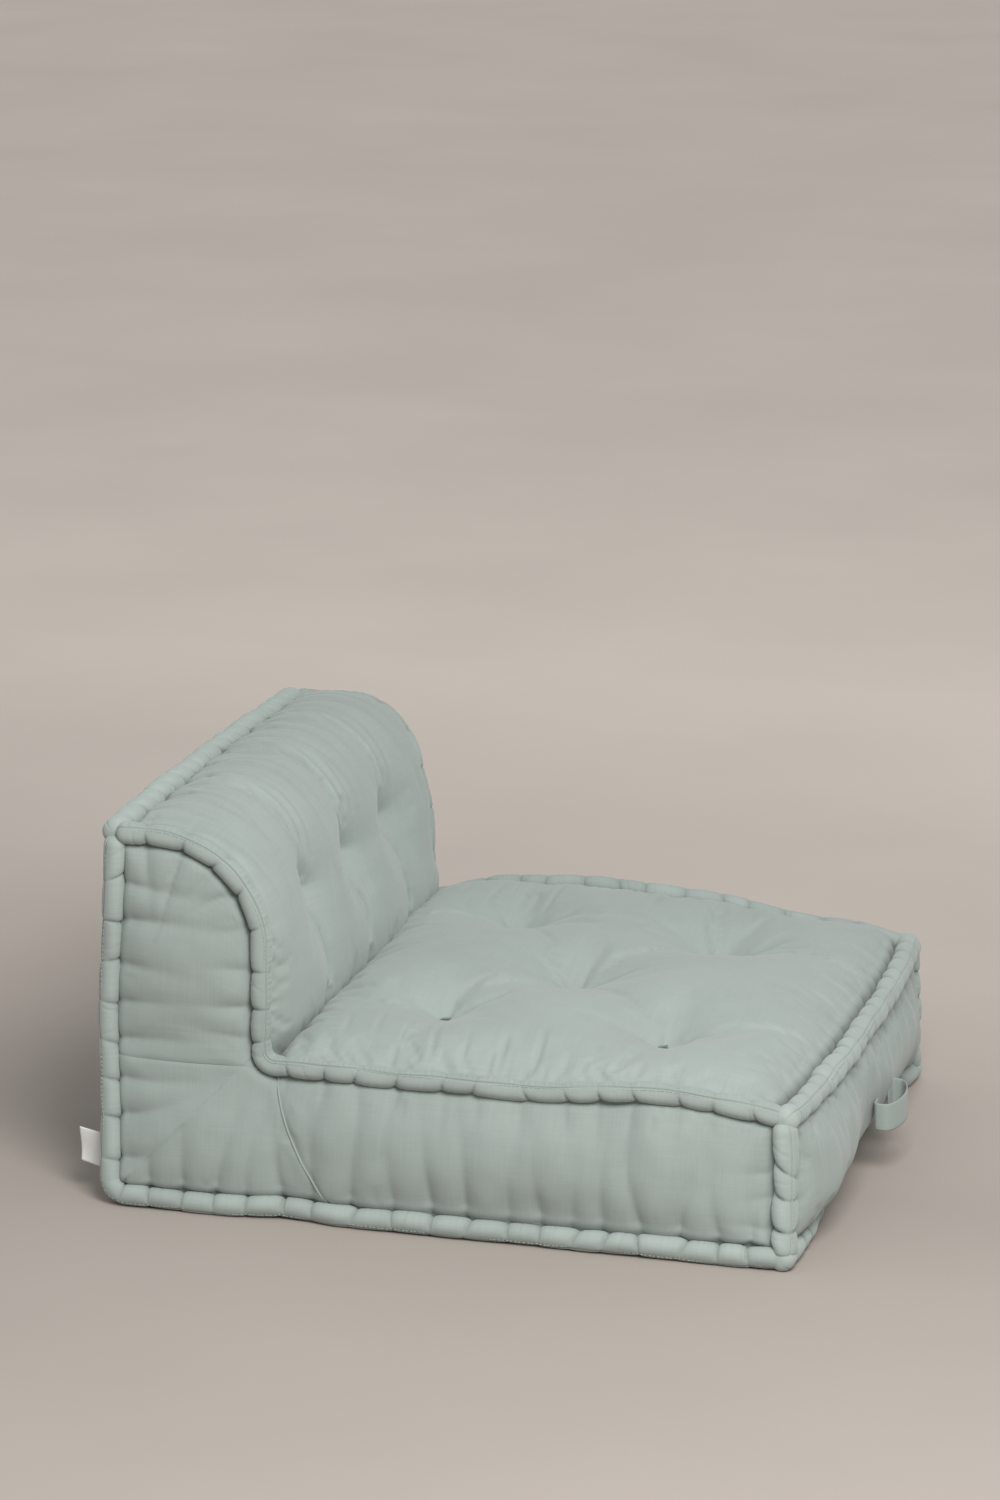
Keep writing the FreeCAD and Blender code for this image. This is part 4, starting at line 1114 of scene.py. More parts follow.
def upper_side_form(look, side, sign):
    """The back's side: its top edge follows the shoulder of the profile roll."""
    turn = np.radians(np.linspace(0, 90, odd_count(SHOULDER * 1.25, look.grid)))
    flat_run = np.linspace(ARC_Y, REAR_Y, odd_count(REAR_Y - ARC_Y, look.grid))[1:]
    y = np.concatenate([ARC_Y - SHOULDER * np.cos(turn), flat_run])
    high = np.concatenate([ARC_Z + SHOULDER * np.sin(turn), np.full(len(flat_run), TOP_Z)])
    if sign < 0:
        y, high = y[::-1], high[::-1]
    share = np.linspace(0, 1, odd_count(TOP_Z - SEAT_Z, look.grid))
    a = np.broadcast_to(y, (len(share), len(y)))
    b = SEAT_Z + (high[None] - SEAT_Z) * share[:, None]
    flat = bowed(np.stack([sign * (EDGE_X + RISE + base_bow(a) * side_lean(b)), a, b], axis=-1))
    return side_form(look, flat, sign, side_rows(side))


def under_form(look):
    """The underside: nearly flat on the floor, with the five tufts drawn up into it."""
    x = np.linspace(EDGE_X, -EDGE_X, odd_count(2 * EDGE_X, UNDER_STEP))
    share = np.linspace(0, 1, odd_count(REAR_Y - FRONT_Y, UNDER_STEP))
    a, t = np.meshgrid(x, share)
    front, rear = EDGES["front_bottom"].line, EDGES["rear_bottom"].line
    spread = 1 + base_bow(REAR_Y) / EDGE_X
    first = np.interp(a * spread, front[:, 0], front[:, 1])
    last = np.interp(a * spread, rear[:, 0], rear[:, 1])
    b = first + (last - first) * t
    lift = np.interp(a * spread, rear[:, 0], rear[:, 2]) - BASE_Z
    flat = np.stack([a * (1 + base_bow(b) / EDGE_X), b, BASE_Z - RISE + lift * t**8], axis=-1)
    names = ("front_bottom", "rear_bottom", "left_base", "right_base")
    sides = nearest(flat, *names)
    height = 0.008 * np.prod([pillow(d, 0.012) for _, d in sides], axis=0)
    for number, spot in enumerate(SEAT_TUFTS):
        height += dimple(a, b, spot, 0.010, reach=0.030, seed=420 + number)
    points = swelled(flat, 2, -height)
    points[..., 2] = np.maximum(points[..., 2], 0.001)
    fine = np.zeros(a.shape)
    for name, side in zip(names, sides):
        fine += gathers(name, side, look.gather * 0.5, reach=0.03, width=0.009, seed=426)
    return Form(points, fine, held_at([d for _, d in sides], a, b), lay_out(flat))


# Cloth
def settle(forms, look):
    """Let the covers settle: every third row and column becomes a cloth held at its rolls and tufts and
    blown from inside; the capped movement is carried back to the whole grid."""
    scene = bpy.context.scene
    trials = []
    for name, form in forms.items():
        coarse = form.points[::CLOTH_STRIDE, ::CLOTH_STRIDE]
        held = form.held[::CLOTH_STRIDE, ::CLOTH_STRIDE]
        piece = sheet_object(name + "_trial", coarse, form.uv[::CLOTH_STRIDE, ::CLOTH_STRIDE], None)
        group = piece.vertex_groups.new(name="held")
        group.add(np.flatnonzero(held).tolist(), 1.0, "REPLACE")
        cloth = piece.modifiers.new("settle", "CLOTH")
        cloth.point_cache.frame_start = 1
        cloth.point_cache.frame_end = CLOTH_FRAMES
        rules = cloth.settings
        rules.quality = 6
        rules.mass = 0.3
        rules.tension_stiffness = 12
        rules.compression_stiffness = 12
        rules.shear_stiffness = 5
        rules.bending_stiffness = form.stiff
        rules.air_damping = 2.0
        rules.vertex_group_mass = "held"
        rules.use_pressure = True
        rules.uniform_pressure_force = look.cloth_pressure
        rules.shrink_min = -form.growth
        rules.effector_weights.gravity = 0
        cloth.collision_settings.use_collision = False
        trials.append((form, piece, coarse))
    for number in range(1, CLOTH_FRAMES + 1):
        scene.frame_set(number)
    graph = bpy.context.evaluated_depsgraph_get()
    for form, piece, coarse in trials:
        mesh = piece.evaluated_get(graph).data
        moved = np.empty(len(mesh.vertices) * 3, np.float32)
        mesh.vertices.foreach_get("co", moved)
        shift = moved.reshape(coarse.shape).astype(float) - coarse
        size = np.linalg.norm(shift, axis=-1, keepdims=True)
        shift *= look.cloth_limit * np.tanh(size / look.cloth_limit) / np.maximum(size, 1e-9)
        down = cubic_weights(form.points.shape[0], CLOTH_STRIDE)
        along = cubic_weights(form.points.shape[1], CLOTH_STRIDE)
        shift = np.einsum("ij,jkc,lk->ilc", down, shift, along, optimize=True)
        form.points = form.points + shift * form.ease[..., None]
    for _, piece, _ in trials:
        mesh = piece.data
        bpy.data.objects.remove(piece)
        bpy.data.meshes.remove(mesh)
    scene.frame_set(1)


def sew(name, key, nodes, finishes):
    """Add a form's fine relief along its normals and make the cover."""
    form = FORMS[key]
    points = form.points + grid_normals(form.points) * form.fine[..., None]
    # Mask of painted light and shade: valleys of the fine relief and the deep creases darker, its swells
    # lighter
    fold = np.clip(form.fine / FULL_FOLD, -1, 1) - form.shade
    SURFACES[key] = points
    piece = sheet_object(name, points, form.uv, fold)
    return finish(piece, cloth_named("cover_cloth", finishes), nodes)


def on_surface(key, axes, spots):
    """The points of a sewn cover nearest to places given on two axes."""
    points = SURFACES[key].reshape(-1, 3)
    gap = np.abs(points[None][..., list(axes)] - spots[:, None]).sum(axis=-1)
    return points[np.argmin(gap, axis=1)]


class SofaShape(bpy.types.PropertyGroup):
    grid: FloatProperty(
        name="Cover step",
        description="Spacing of the points of a cover",
        default=0.0029,
        min=0.002,
        unit="LENGTH",
    )
    roll_swell: FloatProperty(
        name="Roll swell",
        description="How far a roll swells between stitches",
        default=0.0032,
        unit="LENGTH",
    )
    roll_pinch: FloatProperty(
        name="Roll pinch", description="How far a stitch draws a roll in", default=0.0056, unit="LENGTH"
    )
    seam_groove: FloatProperty(
        name="Seam groove",
        description="Depth of the seam along a roll's crest",
        default=0.0020,
        unit="LENGTH",
    )
    seat_crown: FloatProperty(
        name="Seat crown", description="Rise of the seat above its lips", default=0.030, unit="LENGTH"
    )
    back_crown: FloatProperty(
        name="Back crown", description="Swell of the back's front and top", default=0.018, unit="LENGTH"
    )
    front_crown: FloatProperty(
        name="Front crown", description="Swell of the front", default=0.038, unit="LENGTH"
    )
    side_crown: FloatProperty(
        name="Side crown", description="Swell of the sides", default=0.012, unit="LENGTH"
    )
    rear_crown: FloatProperty(
        name="Rear crown", description="Swell of the rear", default=0.008, unit="LENGTH"
    )
    tuft_depth: FloatProperty(
        name="Seat tuft depth",
        description="How deep a seat tuft pulls the cover",
        default=0.021,
        unit="LENGTH",
    )
    back_tuft_depth: FloatProperty(
        name="Back tuft depth",
        description="How deep a back tuft pulls the cover",
        default=0.024,
        unit="LENGTH",
    )
    gather: FloatProperty(
        name="Gathers",
        description="Depth of the folds that run from the stitches",
        default=0.0042,
        unit="LENGTH",
    )
    stitch_pitch: FloatProperty(
        name="Stitch pitch",
        description="Spacing of the stitches on a crest seam",
        default=0.006,
        unit="LENGTH",
    )
    cloth_pressure: FloatProperty(
        name="Filling pressure",
        description="Pressure of the filling on the settling covers",
        default=4.0,
    )
    cloth_growth: FloatProperty(
        name="Cloth ease",
        description="Share by which the covers are cut larger than their frame",
        default=0.02,
    )
    cloth_limit: FloatProperty(
        name="Settling limit",
        description="Most that a cover may move as it settles",
        default=0.022,
        unit="LENGTH",
    )


class SofaFinish(bpy.types.PropertyGroup):
    cover_colour: FloatVectorProperty(
        name="Cover colour",
        description="Sage cotton of covers and rolls",
        default=(0.324, 0.373, 0.344),
        subtype="COLOR",
    )
    thread_colour: FloatVectorProperty(
        name="Thread colour", description="Sewing thread", default=(0.42, 0.49, 0.44), subtype="COLOR"
    )
    tie_colour: FloatVectorProperty(
        name="Tie colour",
        description="Waxed cord of the tufts",
        default=(0.19, 0.215, 0.196),
        subtype="COLOR",
    )
    label_colour: FloatVectorProperty(
        name="Label colour", description="Blank satin label", default=(0.80, 0.80, 0.78), subtype="COLOR"
    )
    slub: FloatProperty(name="Slub", description="Unevenness of the yarn's tone", default=0.16)


class SofaStage(bpy.types.PropertyGroup):
    floor_colour: FloatVectorProperty(
        name="Floor colour",
        description="Plain pale floor",
        default=(0.40, 0.355, 0.317),
        subtype="COLOR",
    )
    sky: FloatProperty(name="Sky", description="Strength of the even light", default=0.50)
    lamp: FloatProperty(
        name="Lamp", description="Power of the soft overhead lamp", default=160.0, unit="POWER"
    )


class SOFA_OT_settle(bpy.types.Operator):
    """Shape every cover and let the cloth settle over its filling"""

    bl_idname = "sofa.settle"
    bl_label = "Shape and settle covers"

    def execute(self, context):
        look = context.scene.sofa_shape
        FORMS["seat"] = seat_form(look)
        FORMS["back"] = back_form(look)
        FORMS["front"] = front_form(look)
        FORMS["rear"] = rear_form(look)
        for side, sign in SIDES:
            FORMS[side + "_lower"] = lower_side_form(look, side, sign)
            FORMS[side + "_upper"] = upper_side_form(look, side, sign)
        settle(FORMS, look)
        FORMS["under"] = under_form(look)
        return {"FINISHED"}


# Rolls: turns of the rings that dome an end, share of the radius an end stands out, wander of the line and
# the bead height, up and down, that takes the whole painted light on swells and painted shade in pinches
END_TURNS = np.radians([75, 60, 45, 30, 15])
END_OUT = 0.9
ROLL_WANDER = 0.0009
FULL_BEAD = 0.0025


def roll_rings(edge, look):
    """Rings of Edge.radius along a line that wanders a little, with domed ends; their UV and a mask of
    painted light on the beads' swells and painted shade in their pinches.
    """
    tangent, third = edge.axes()
    count, more = len(edge.s), len(END_TURNS)
    s = np.concatenate([np.zeros(more), edge.s, np.full(more, edge.length)])
    number = edge.place(s)
    facing, third = edge.facing[number], third[number]
    shrink = np.concatenate([np.cos(END_TURNS), np.ones(count), np.cos(END_TURNS[::-1])])
    push = np.concatenate([-np.sin(END_TURNS), np.zeros(count), np.sin(END_TURNS[::-1])]) * ROLL * END_OUT
    radius = edge.radius(s[:, None], AROUND[None], look) * shrink[:, None]
    wander = np.stack([np.sin(s * 33 + edge.seed), np.sin(s * 26 + 2.3 * edge.seed)], axis=1) * ROLL_WANDER
    centre = edge.line[number] + tangent[number] * push[:, None]
    centre = centre + facing * wander[:, :1] + third * wander[:, 1:]
    out = np.cos(AROUND)[None, :, None] * facing[:, None] + np.sin(AROUND)[None, :, None] * third[:, None]
    rings = centre[:, None] + radius[..., None] * out
    rings[..., 2] = rest_on_floor(rings[..., 2])
    turn = np.concatenate([AROUND, [AROUND[0] + 2 * math.pi]])
    uv = np.stack(np.meshgrid(s + push, turn * ROLL, indexing="ij"), axis=-1)
    # Painted light and shade: swollen beads lighter, pinched creases darker
    fold = np.clip((radius / np.maximum(shrink[:, None], 0.05) - ROLL) / FULL_BEAD, -1, 1)
    return rings, uv, fold


class SOFA_OT_rolls(bpy.types.Operator):
    """Stitched rolls along every edge: rings of Edge.radius carried along the edge line, with domed ends"""

    bl_idname = "sofa.rolls"
    bl_label = "Edge rolls"

    stands_for = {
        "front_top": ("front_top_roll",),
        "front_bottom": ("front_bottom_roll",),
        "rear_top": ("rear_top_roll",),
        "rear_bottom": ("rear_bottom_roll",),
        "left_profile": ("left_back_profile_roll", "left_seat_top_roll"),
        "right_profile": ("right_back_profile_roll", "right_seat_top_roll"),
        "left_base": ("left_bottom_roll", "left_rear_corner_roll"),
        "right_base": ("right_bottom_roll", "right_rear_corner_roll"),
        "left_corner": ("left_front_corner_roll",),
        "right_corner": ("right_front_corner_roll",),
    }

    def execute(self, context):
        look = context.scene.sofa_shape
        material = cloth_named("roll_cloth", context.scene.sofa_finish)
        for name, edge in EDGES.items():
            piece = tube_object(name + "_roll_cover", *roll_rings(edge, look))
            finish(piece, material, self.stands_for[name])
        return {"FINISHED"}


# Crest stitches: bare run at each end of a roll, distance beside the seam, length and half thickness
STITCH_MARGIN = 0.012
STITCH_OFF = 0.0030
STITCH_LENGTH = 0.0042
STITCH_THICK = 0.0005


def capsules(places, along, normal, length, thick):
    """Small stitches: five rings of five, tapered to both ends, laid along a direction on a surface."""
    t = np.linspace(-1, 1, 5)
    width = thick * np.sqrt(np.maximum(1 - 0.92 * t**2, 0))
    turn = np.linspace(0, 2 * math.pi, 5, endpoint=False)
    across = np.cross(normal, along)
    out = np.cos(turn)[None, :, None] * normal[:, None] + np.sin(turn)[None, :, None] * across[:, None]
    rings = places[:, None, None] + (t * length / 2)[None, :, None, None] * along[:, None, None]
    rings = rings + width[None, :, None, None] * out[:, None]
    rows = np.arange(5)[:, None] * 5
    index = rows + np.concatenate([np.arange(5), [0]])[None]
    body = quads(index)
    caps = np.array([[0, 4, 3, 2, 1], [20, 21, 22, 23, 24]])
    base = np.arange(len(places))[:, None, None] * 25
    return rings.reshape(-1, 3), [(body[None] + base).reshape(-1, 4), (caps[None] + base).reshape(-1, 5)]


class SOFA_OT_stitches(bpy.types.Operator):
    """Sewing stitches along the crest seam of every roll"""

    bl_idname = "sofa.stitches"
    bl_label = "Crest stitches"

    def execute(self, context):
        look = context.scene.sofa_shape
        material = cloth_named("sewing_thread", context.scene.sofa_finish)
        for name, edge in EDGES.items():
            tangent, third = edge.axes()
            s = np.arange(STITCH_MARGIN, edge.length - STITCH_MARGIN, look.stitch_pitch)
            number = edge.place(s)
            turn = edge.seam_turn(s) + STITCH_OFF / ROLL
            radius = edge.radius(s, turn, look)
            out = np.cos(turn)[:, None] * edge.facing[number] + np.sin(turn)[:, None] * third[number]
            places = edge.line[number] + (radius + 0.0001)[:, None] * out
            points, faces = capsules(places, tangent[number], out, STITCH_LENGTH, STITCH_THICK)
            flat = [np.zeros((len(block), block.shape[1], 2)) for block in faces]
            piece = as_mesh(name + "_stitches", points, faces, flat)
            finish(piece, material)
        return {"FINISHED"}


class SOFA_OT_seat(bpy.types.Operator):
    """The tufted seat cover"""

    bl_idname = "sofa.seat"
    bl_label = "Seat cover"

    def execute(self, context):
        sew("seat_cover", "seat", ("seat_top_panel", "seat_filling"), context.scene.sofa_finish)
        return {"FINISHED"}


class SOFA_OT_back(bpy.types.Operator):
    """The tufted cover over the back's front and top"""

    bl_idname = "sofa.back"
    bl_label = "Back cover"

    def execute(self, context):
        sew("back_cover", "back", ("back_front_panel", "back_filling"), context.scene.sofa_finish)
        return {"FINISHED"}


class SOFA_OT_ends(bpy.types.Operator):
    """The front, rear and underside covers"""

    bl_idname = "sofa.ends"
    bl_label = "Front, rear and underside"

    def execute(self, context):
        finishes = context.scene.sofa_finish
        sew("front_cover", "front", ("front_panel",), finishes)
        sew("rear_cover", "rear", ("rear_panel",), finishes)
        sew("underside_cover", "under", ("bottom_panel",), finishes)
        return {"FINISHED"}


class SOFA_OT_sides(bpy.types.Operator):
    """The side covers of seat and back"""

    bl_idname = "sofa.sides"
    bl_label = "Side covers"

    def execute(self, context):
        finishes = context.scene.sofa_finish
        for side in ("left", "right"):
            lower = (side + "_seat_side_panel", side + "_rear_side_panel")
            sew(side + "_lower_side_cover", side + "_lower", lower, finishes)
            sew(side + "_upper_side_cover", side + "_upper", (side + "_back_side_panel",), finishes)
        return {"FINISHED"}


# Side seams: distance from the rolls, height on the cover and radius; and half the width of their smoothing
SEAM_END = 0.004
SEAM_LIFT = 0.0006
SEAM_RADIUS = 0.0016
SEAM_BLUR = 3


class SOFA_OT_seam_cords(bpy.types.Operator):
    """Raised seam on each side: a fine tube along the curved seam, on the cover"""

    bl_idname = "sofa.seam_cords"
    bl_label = "Side seams"

    def execute(self, context):
        material = cloth_named("roll_cloth", context.scene.sofa_finish)
        for side, sign in SIDES:
            z = np.linspace(SEAT_Z + SEAM_END, BASE_Z + SEAM_END, 70)
            spots = np.stack([seam_y(z), z], axis=1)
            line = on_surface(side + "_lower", (1, 2), spots)
            line[:, 1:] = spots
            window = np.ones(2 * SEAM_BLUR + 1) / (2 * SEAM_BLUR + 1)
            blurred = np.convolve(np.pad(line[:, 0], SEAM_BLUR, mode="edge"), window, mode="valid")
            line[:, 0] = blurred + sign * SEAM_LIFT
            normal = np.broadcast_to([float(sign), 0, 0], line.shape)
            rings = swept(line, normal, ring(SEAM_RADIUS, 8))
            piece = tube_object(side + "_side_seam", rings, plain_uv(rings))
            finish(piece, material)
        return {"FINISHED"}


# Radii of a tie's strands and of its loose ends
STRAND_RADIUS = 0.0013
END_RADIUS = 0.0011


class SOFA_OT_tuft_ties(bpy.types.Operator):
    """Waxed ties in the tufts: two strands and two loose ends of cord, on both faces"""

    bl_idname = "sofa.tuft_ties"
    bl_label = "Tuft ties"

    def execute(self, context):
        finishes = context.scene.sofa_finish
        seat = np.array(SEAT_TUFTS)
        top = on_surface("seat", (0, 1), seat)
        low = on_surface("under", (0, 1), seat)
        self.tie("seat_tuft_cords", top, low, np.array([0, 0, 1.0]), "seat_tuft_ties", finishes)
        run = SURFACES["back_tuft_run"]
        across = np.array([[each, BACK_TUFT_Z] for each in BACK_TUFTS])
        rear = on_surface("rear", (0, 2), across)
        front = self.fronts(run)
        self.tie("back_tuft_cords", front, rear, np.array([0, -1.0, 0.15]), "back_tuft_ties", finishes)
        return {"FINISHED"}

    def fronts(self, run):
        """Places of the back tufts on the back cover, at their run up the sheet."""
        form = FORMS["back"]
        row = np.argmin(np.abs(form.uv[:, 0, 1] - run))
        columns = [np.argmin(np.abs(SURFACES["back"][row, :, 0] - each)) for each in BACK_TUFTS]
        return SURFACES["back"][row, columns]

    def tie(self, name, outer, inner, out, node, finishes):
        """Each tie is a bent bar of two strands and two loose ends, swept as thin tubes."""
        out = out / np.linalg.norm(out)
        rng = np.random.default_rng(500)
        t = np.linspace(-1, 1, 15)
        go = (t + 1) / 2
        pieces = []
        for spot, way in [(each, out) for each in outer] + [(each, -out) for each in inner]:
            side = unit(np.cross(way, [1.0, 0.2, 0.1]))
            turn = rng.uniform(-0.3, 0.3) - 0.4
            first = side * math.cos(turn) + np.cross(side, way) * math.sin(turn)
            axes = np.stack([first, np.cross(way, first), way])
            facing = np.broadcast_to(way, (len(t), 3))
            for sign in (-1, 1):
                bar = [t * 0.0085, sign * 0.0014 * np.cos(t * 2.2), 0.0025 * (1 - t**2) + 0.0004]
                pieces.append(swept(spot + np.stack(bar, axis=1) @ axes, facing, ring(STRAND_RADIUS, 7)))
            for sign in (-1, 1):
                aside = sign * 0.006 * (t + 1) ** 1.5 / 2.8
                end = [sign * (0.003 + 0.008 * go), aside, 0.0034 - 0.0022 * go**2]
                pieces.append(swept(spot + np.stack(end, axis=1) @ axes, facing, ring(END_RADIUS, 7)))
        parts = [tube_object(name + "_part", rings, plain_uv(rings)) for rings in pieces]
        piece = join(name, parts)
        finish(piece, cloth_named("tuft_cord", finishes), (node,))


def join(name, parts):
    """One object from several meshes at the origin."""
    with bpy.context.temp_override(active_object=parts[0], object=parts[0], selected_editable_objects=parts):
        bpy.ops.object.join()
    parts[0].name = name
    parts[0].data.name = name
    return parts[0]


# Carry strap: sewn tab, bend at its end, root of the loop, reach past the frame, droop of the loop,
# depth of its sewn ends in the front and half its thickness
STRAP_TAB = 0.026
STRAP_BEND = 0.004
STRAP_ROOT = 0.012
STRAP_OUT = 0.0120
STRAP_DROOP = 0.002
STRAP_SEWN = 0.0022
STRAP_HALF_THICK = 0.0012


class SOFA_OT_handle(bpy.types.Operator):
    """Carry strap: a webbing band that leaves the front at two sewn ends and loops between them"""

    bl_idname = "sofa.handle"
    bl_label = "Carry strap"

    def execute(self, context):
        low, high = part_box("carry_handle")
        centre_x, centre_z = (low[0] + high[0]) / 2, (low[2] + high[2]) / 2
        half = (high[0] - low[0]) / 2 - 0.0013
        ends = np.array([[centre_x - half, centre_z], [centre_x + half, centre_z]])
        face = on_surface("front", (0, 2), ends)[:, 1].min() - STRAP_SEWN
        outer = low[1] - STRAP_OUT
        plan = self.route(centre_x, half, face, outer)
        out = np.clip((face - plan[:, 1]) / (face - outer), 0, 1)
        line = np.stack([plan[:, 0], plan[:, 1], centre_z - STRAP_DROOP * out], axis=1)
        normal = unit(np.cross(unit(np.gradient(line, axis=0)), np.array([0, 0.05, 1.0])))
        rings = swept(line, normal, self.section(high[2] - low[2]))
        piece = tube_object("carry_strap", rings, plain_uv(rings), np.zeros(rings.shape[:2]))
        material = cloth_named("strap_cloth", context.scene.sofa_finish)
        finish(piece, material, ("carry_handle", "handle_ends"), None)
        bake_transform(piece)
        return {"FINISHED"}

    def route(self, centre_x, half, face, outer):
        """Plan of the strap as (x, y): a sewn tab, a bend, half an oval, and the same back."""
        turn = np.radians(np.linspace(180, 360, 25))
        root = face - STRAP_ROOT
        loop = np.stack([centre_x + half * np.cos(turn), root - (outer - root) * np.sin(turn)], axis=1)
        near = centre_x - half + STRAP_BEND
        tab = np.stack([np.linspace(centre_x - half + STRAP_TAB, near, 6), np.full(6, face)], axis=1)
        bend = np.radians(np.linspace(90, 180, 5))[1:, None]
        corner = np.array([near, face - STRAP_BEND]) + STRAP_BEND * np.hstack([np.cos(bend), np.sin(bend)])
        left = np.concatenate([tab, corner])
        right = left[::-1].copy()
        right[:, 0] = 2 * centre_x - right[:, 0]
        plan = np.concatenate([left, loop, right])
        run = run_along(plan)
        even = np.linspace(0, run[-1], 150)
        plan = np.stack([np.interp(even, run, plan[:, k]) for k in range(2)], axis=1)
        for k in range(2):
            plan[2:-2, k] = np.convolve(plan[:, k], np.ones(5) / 5, mode="valid")
        return plan

    def section(self, width):
        """Section of the webbing: thinner at its edges and along its two hems."""
        t = np.linspace(-1, 1, 21)
        thick = STRAP_HALF_THICK * (1 - 0.55 * np.abs(t) ** 12) - 0.0003 * bell(np.abs(t), 0.84, 0.05)
        upper = np.stack([thick, t * width / 2], axis=1)
        lower = np.stack([-thick, t * width / 2], axis=1)
        return np.concatenate([upper, lower[::-1]])


# Label: start inside the roll, height and rate of its waves, how far it swings aside and climbs, thickness
LABEL_START = 0.010
LABEL_WAVE = 0.004
LABEL_WAVES = 70
LABEL_SWING = 0.003
LABEL_CLIMB = 0.009
LABEL_DROP = 0.006
LABEL_THICK = 0.0008


class SOFA_OT_label(bpy.types.Operator):
    """Blank label: a satin strip caught in the rear roll, a little wavy"""

    bl_idname = "sofa.label"
    bl_label = "Label"

    def execute(self, context):
        low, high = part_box("care_label")
        y = np.linspace(REAR_Y + LABEL_START, high[1], 22)
        z = np.linspace(low[2], high[2], 26)
        a, b = np.meshgrid(y, z)
        out = (a - y[0]) / (y[-1] - y[0])
        wave = LABEL_WAVE * out * np.sin((b - low[2]) * LABEL_WAVES + 0.6)
        x = (low[0] + high[0]) / 2 + wave + LABEL_SWING * out**2
        b = b + LABEL_CLIMB * out - LABEL_DROP
        points = np.stack([x, a, b], axis=-1)
        uv = np.stack([a, b], axis=-1)
        piece = sheet_object("blank_label", points, uv, np.zeros(a.shape))
        thick = piece.modifiers.new("thickness", "SOLIDIFY")
        thick.thickness = LABEL_THICK
        thick.offset = 0
        finish(piece, cloth_named("label_satin", context.scene.sofa_finish), ("care_label",))
        return {"FINISHED"}


# Camera: place in metres, azimuth, elevation and roll in degrees, lens in millimetres
CAMERA_SPOT = (-7.148, -1.934, 2.474)
CAMERA_TURN = (-74.60, 14.28, 0.41)
CAMERA_LENS = 127.0

# Soft lamp, strength of the sky as the camera sees it, and the floor's painted light along x, brighter
# further away: slope, level and limits
LAMP_SPOT = (-2.8, -1.6, 3.1)
LAMP_AIM = (0.0, 0.0, 0.2)
LAMP_SIZE = 1.8
SKY_SEEN = 0.78
FLOOR_SLOPE = 0.40
FLOOR_LEVEL = 1.05
FLOOR_LIMITS = (1.0, 2.2)


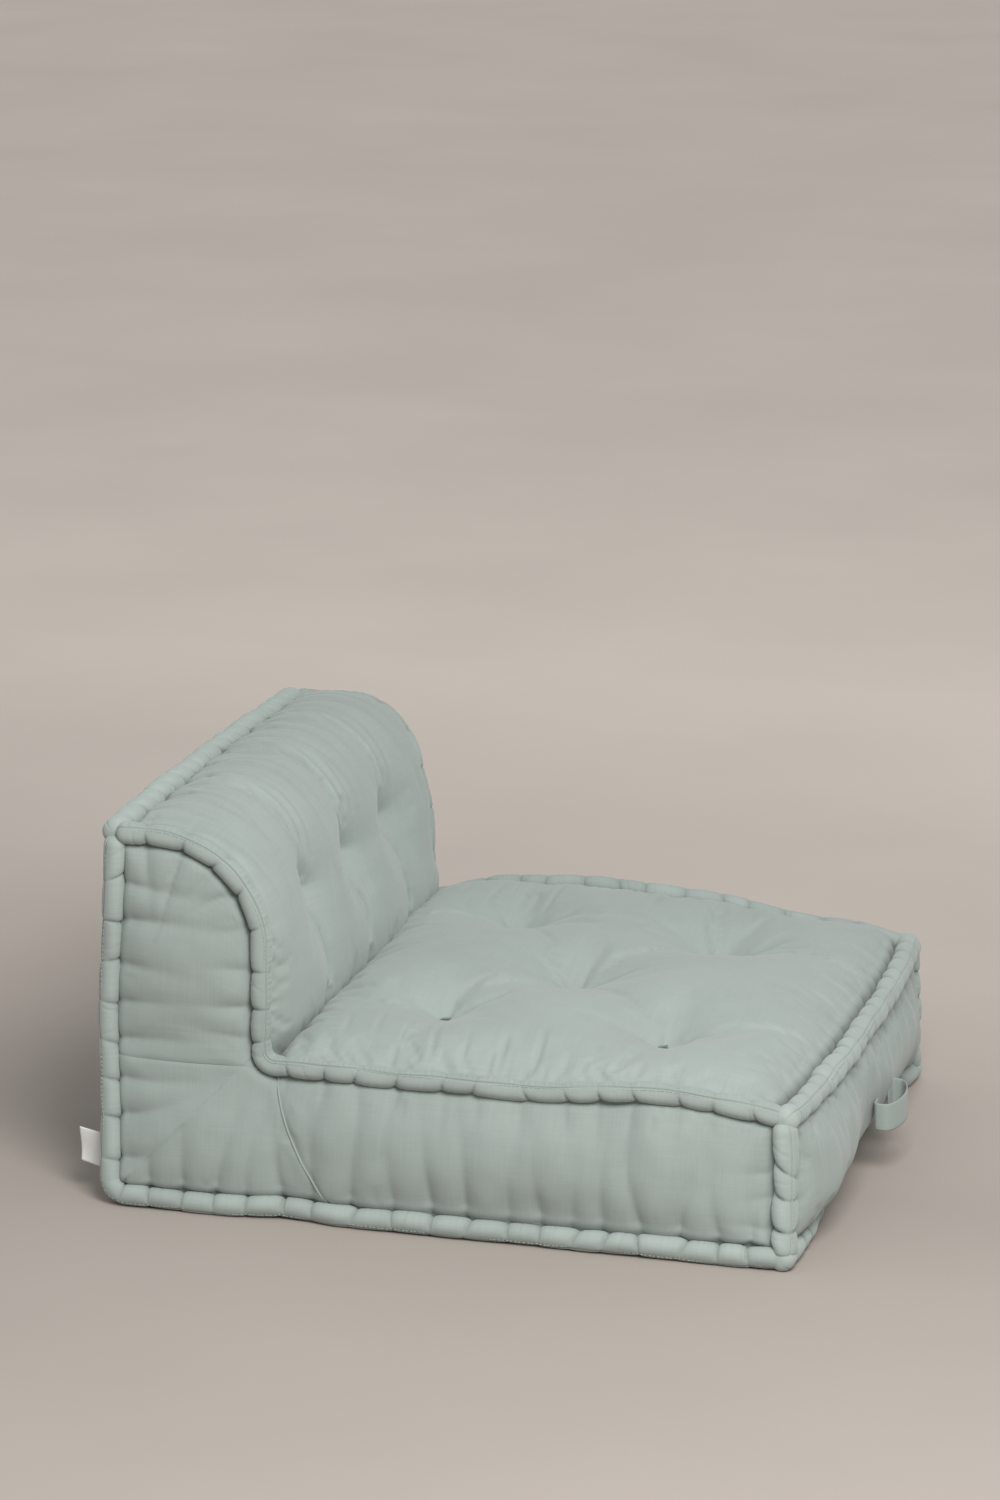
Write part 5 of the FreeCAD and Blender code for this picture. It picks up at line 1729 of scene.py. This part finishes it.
class SOFA_OT_stage(bpy.types.Operator):
    """Floor, even light, one soft lamp and the camera"""

    bl_idname = "sofa.stage"
    bl_label = "Stage"

    def execute(self, context):
        stage = context.scene.sofa_stage
        self.floor(stage)
        self.light(stage)
        self.camera()
        context.scene.view_settings.view_transform = "Standard"
        return {"FINISHED"}

    def floor(self, stage):
        span = np.linspace(-40, 40, 3)
        a, b = np.meshgrid(span, span)
        points = np.stack([a, b, np.zeros(a.shape)], axis=-1)
        piece = sheet_object("floor", points, np.stack([a, b], axis=-1), np.zeros(a.shape))
        material = bpy.data.materials.new("floor_plaster")
        material.use_nodes = True
        n = Nodes(material.node_tree)
        shader = material.node_tree.nodes["Principled BSDF"]
        shader.inputs["Roughness"].default_value = 0.85
        shader.inputs["Specular IOR Level"].default_value = 0.2
        place = n.add("ShaderNodeTexCoord").outputs["Object"]
        tone = n.math("MULTIPLY_ADD", n.noise(place, 1.3, 4.0), 0.16, 0.92)
        split = n.add("ShaderNodeSeparateXYZ")
        n.put(place, split.inputs[0])
        # Painted light: the floor brightens along x, away from the camera
        far = n.math("MULTIPLY_ADD", split.outputs["X"], FLOOR_SLOPE, FLOOR_LEVEL)
        far = n.math("MINIMUM", n.math("MAXIMUM", far, FLOOR_LIMITS[0]), FLOOR_LIMITS[1])
        tone = n.math("MULTIPLY", tone, far)
        colour = n.add("ShaderNodeRGB")
        colour.outputs[0].default_value = (*stage.floor_colour, 1)
        n.put(n.shade(colour.outputs[0], tone), shader.inputs["Base Color"])
        piece.data.materials.append(material)

    def light(self, stage):
        world = bpy.data.worlds.new("even_light")
        world.use_nodes = True
        n = Nodes(world.node_tree)
        sky = world.node_tree.nodes["Background"]
        sky.inputs["Color"].default_value = (0.98, 0.99, 1.0, 1)
        ray = n.add("ShaderNodeLightPath")
        seen = n.math("MULTIPLY_ADD", ray.outputs["Is Camera Ray"], SKY_SEEN - stage.sky, stage.sky)
        n.put(seen, sky.inputs["Strength"])
        bpy.context.scene.world = world
        lamp = bpy.data.lights.new("soft_lamp", "AREA")
        lamp.shape = "RECTANGLE"
        lamp.size = LAMP_SIZE
        lamp.size_y = LAMP_SIZE
        lamp.energy = stage.lamp
        back = unit(np.array(LAMP_SPOT) - np.array(LAMP_AIM))
        side = unit(np.cross([0.0, 1.0, 0.0], back))
        self.place(lamp, LAMP_SPOT, [side, np.cross(back, side), back])

    def camera(self):
        """Camera axes from azimuth, elevation and roll: back points from the sofa to the camera."""
        turn, lift, roll = np.radians(CAMERA_TURN)
        back = np.array([math.sin(turn) * math.cos(lift), -math.cos(turn) * math.cos(lift), math.sin(lift)])
        right = unit(np.cross(-back, [0.0, 0.0, 1.0]))
        over = np.cross(right, -back)
        side = right * math.cos(roll) + over * math.sin(roll)
        over = over * math.cos(roll) - right * math.sin(roll)
        eye = bpy.data.cameras.new("camera")
        eye.sensor_fit = "VERTICAL"
        eye.sensor_height = 36.0
        eye.lens = CAMERA_LENS
        eye.clip_end = 120
        bpy.context.scene.camera = self.place(eye, CAMERA_SPOT, [side, over, back])

    def place(self, data, spot, axes):
        """An object for a lamp or camera at a spot, with its three axes."""
        holder = bpy.data.objects.new(data.name, data)
        bpy.context.scene.collection.objects.link(holder)
        turn = Matrix(np.stack(axes, axis=1).tolist()).to_4x4()
        holder.matrix_world = Matrix.Translation(spot) @ turn
        return holder


OPERATORS = (
    SOFA_OT_settle,
    SOFA_OT_rolls,
    SOFA_OT_stitches,
    SOFA_OT_seat,
    SOFA_OT_back,
    SOFA_OT_ends,
    SOFA_OT_sides,
    SOFA_OT_seam_cords,
    SOFA_OT_tuft_ties,
    SOFA_OT_handle,
    SOFA_OT_label,
    SOFA_OT_stage,
)


class SOFA_PT_panel(bpy.types.Panel):
    """Lists the steps of the build"""

    bl_idname = "SOFA_PT_panel"
    bl_label = "Sofa module"
    bl_space_type = "VIEW_3D"
    bl_region_type = "UI"
    bl_category = "Sofa"

    def draw(self, context):
        for operator in OPERATORS:
            self.layout.operator(operator.bl_idname)


CLASSES = (SofaShape, SofaFinish, SofaStage) + OPERATORS + (SOFA_PT_panel,)


def register():
    for each in CLASSES:
        bpy.utils.register_class(each)
    bpy.types.Scene.sofa_shape = PointerProperty(type=SofaShape)
    bpy.types.Scene.sofa_finish = PointerProperty(type=SofaFinish)
    bpy.types.Scene.sofa_stage = PointerProperty(type=SofaStage)


def unregister():
    del bpy.types.Scene.sofa_stage
    del bpy.types.Scene.sofa_finish
    del bpy.types.Scene.sofa_shape
    for each in reversed(CLASSES):
        bpy.utils.unregister_class(each)


def main():
    register()
    for operator in OPERATORS:
        group, name = operator.bl_idname.split(".")
        getattr(getattr(bpy.ops, group), name)()


if __name__ == "__main__":
    main()
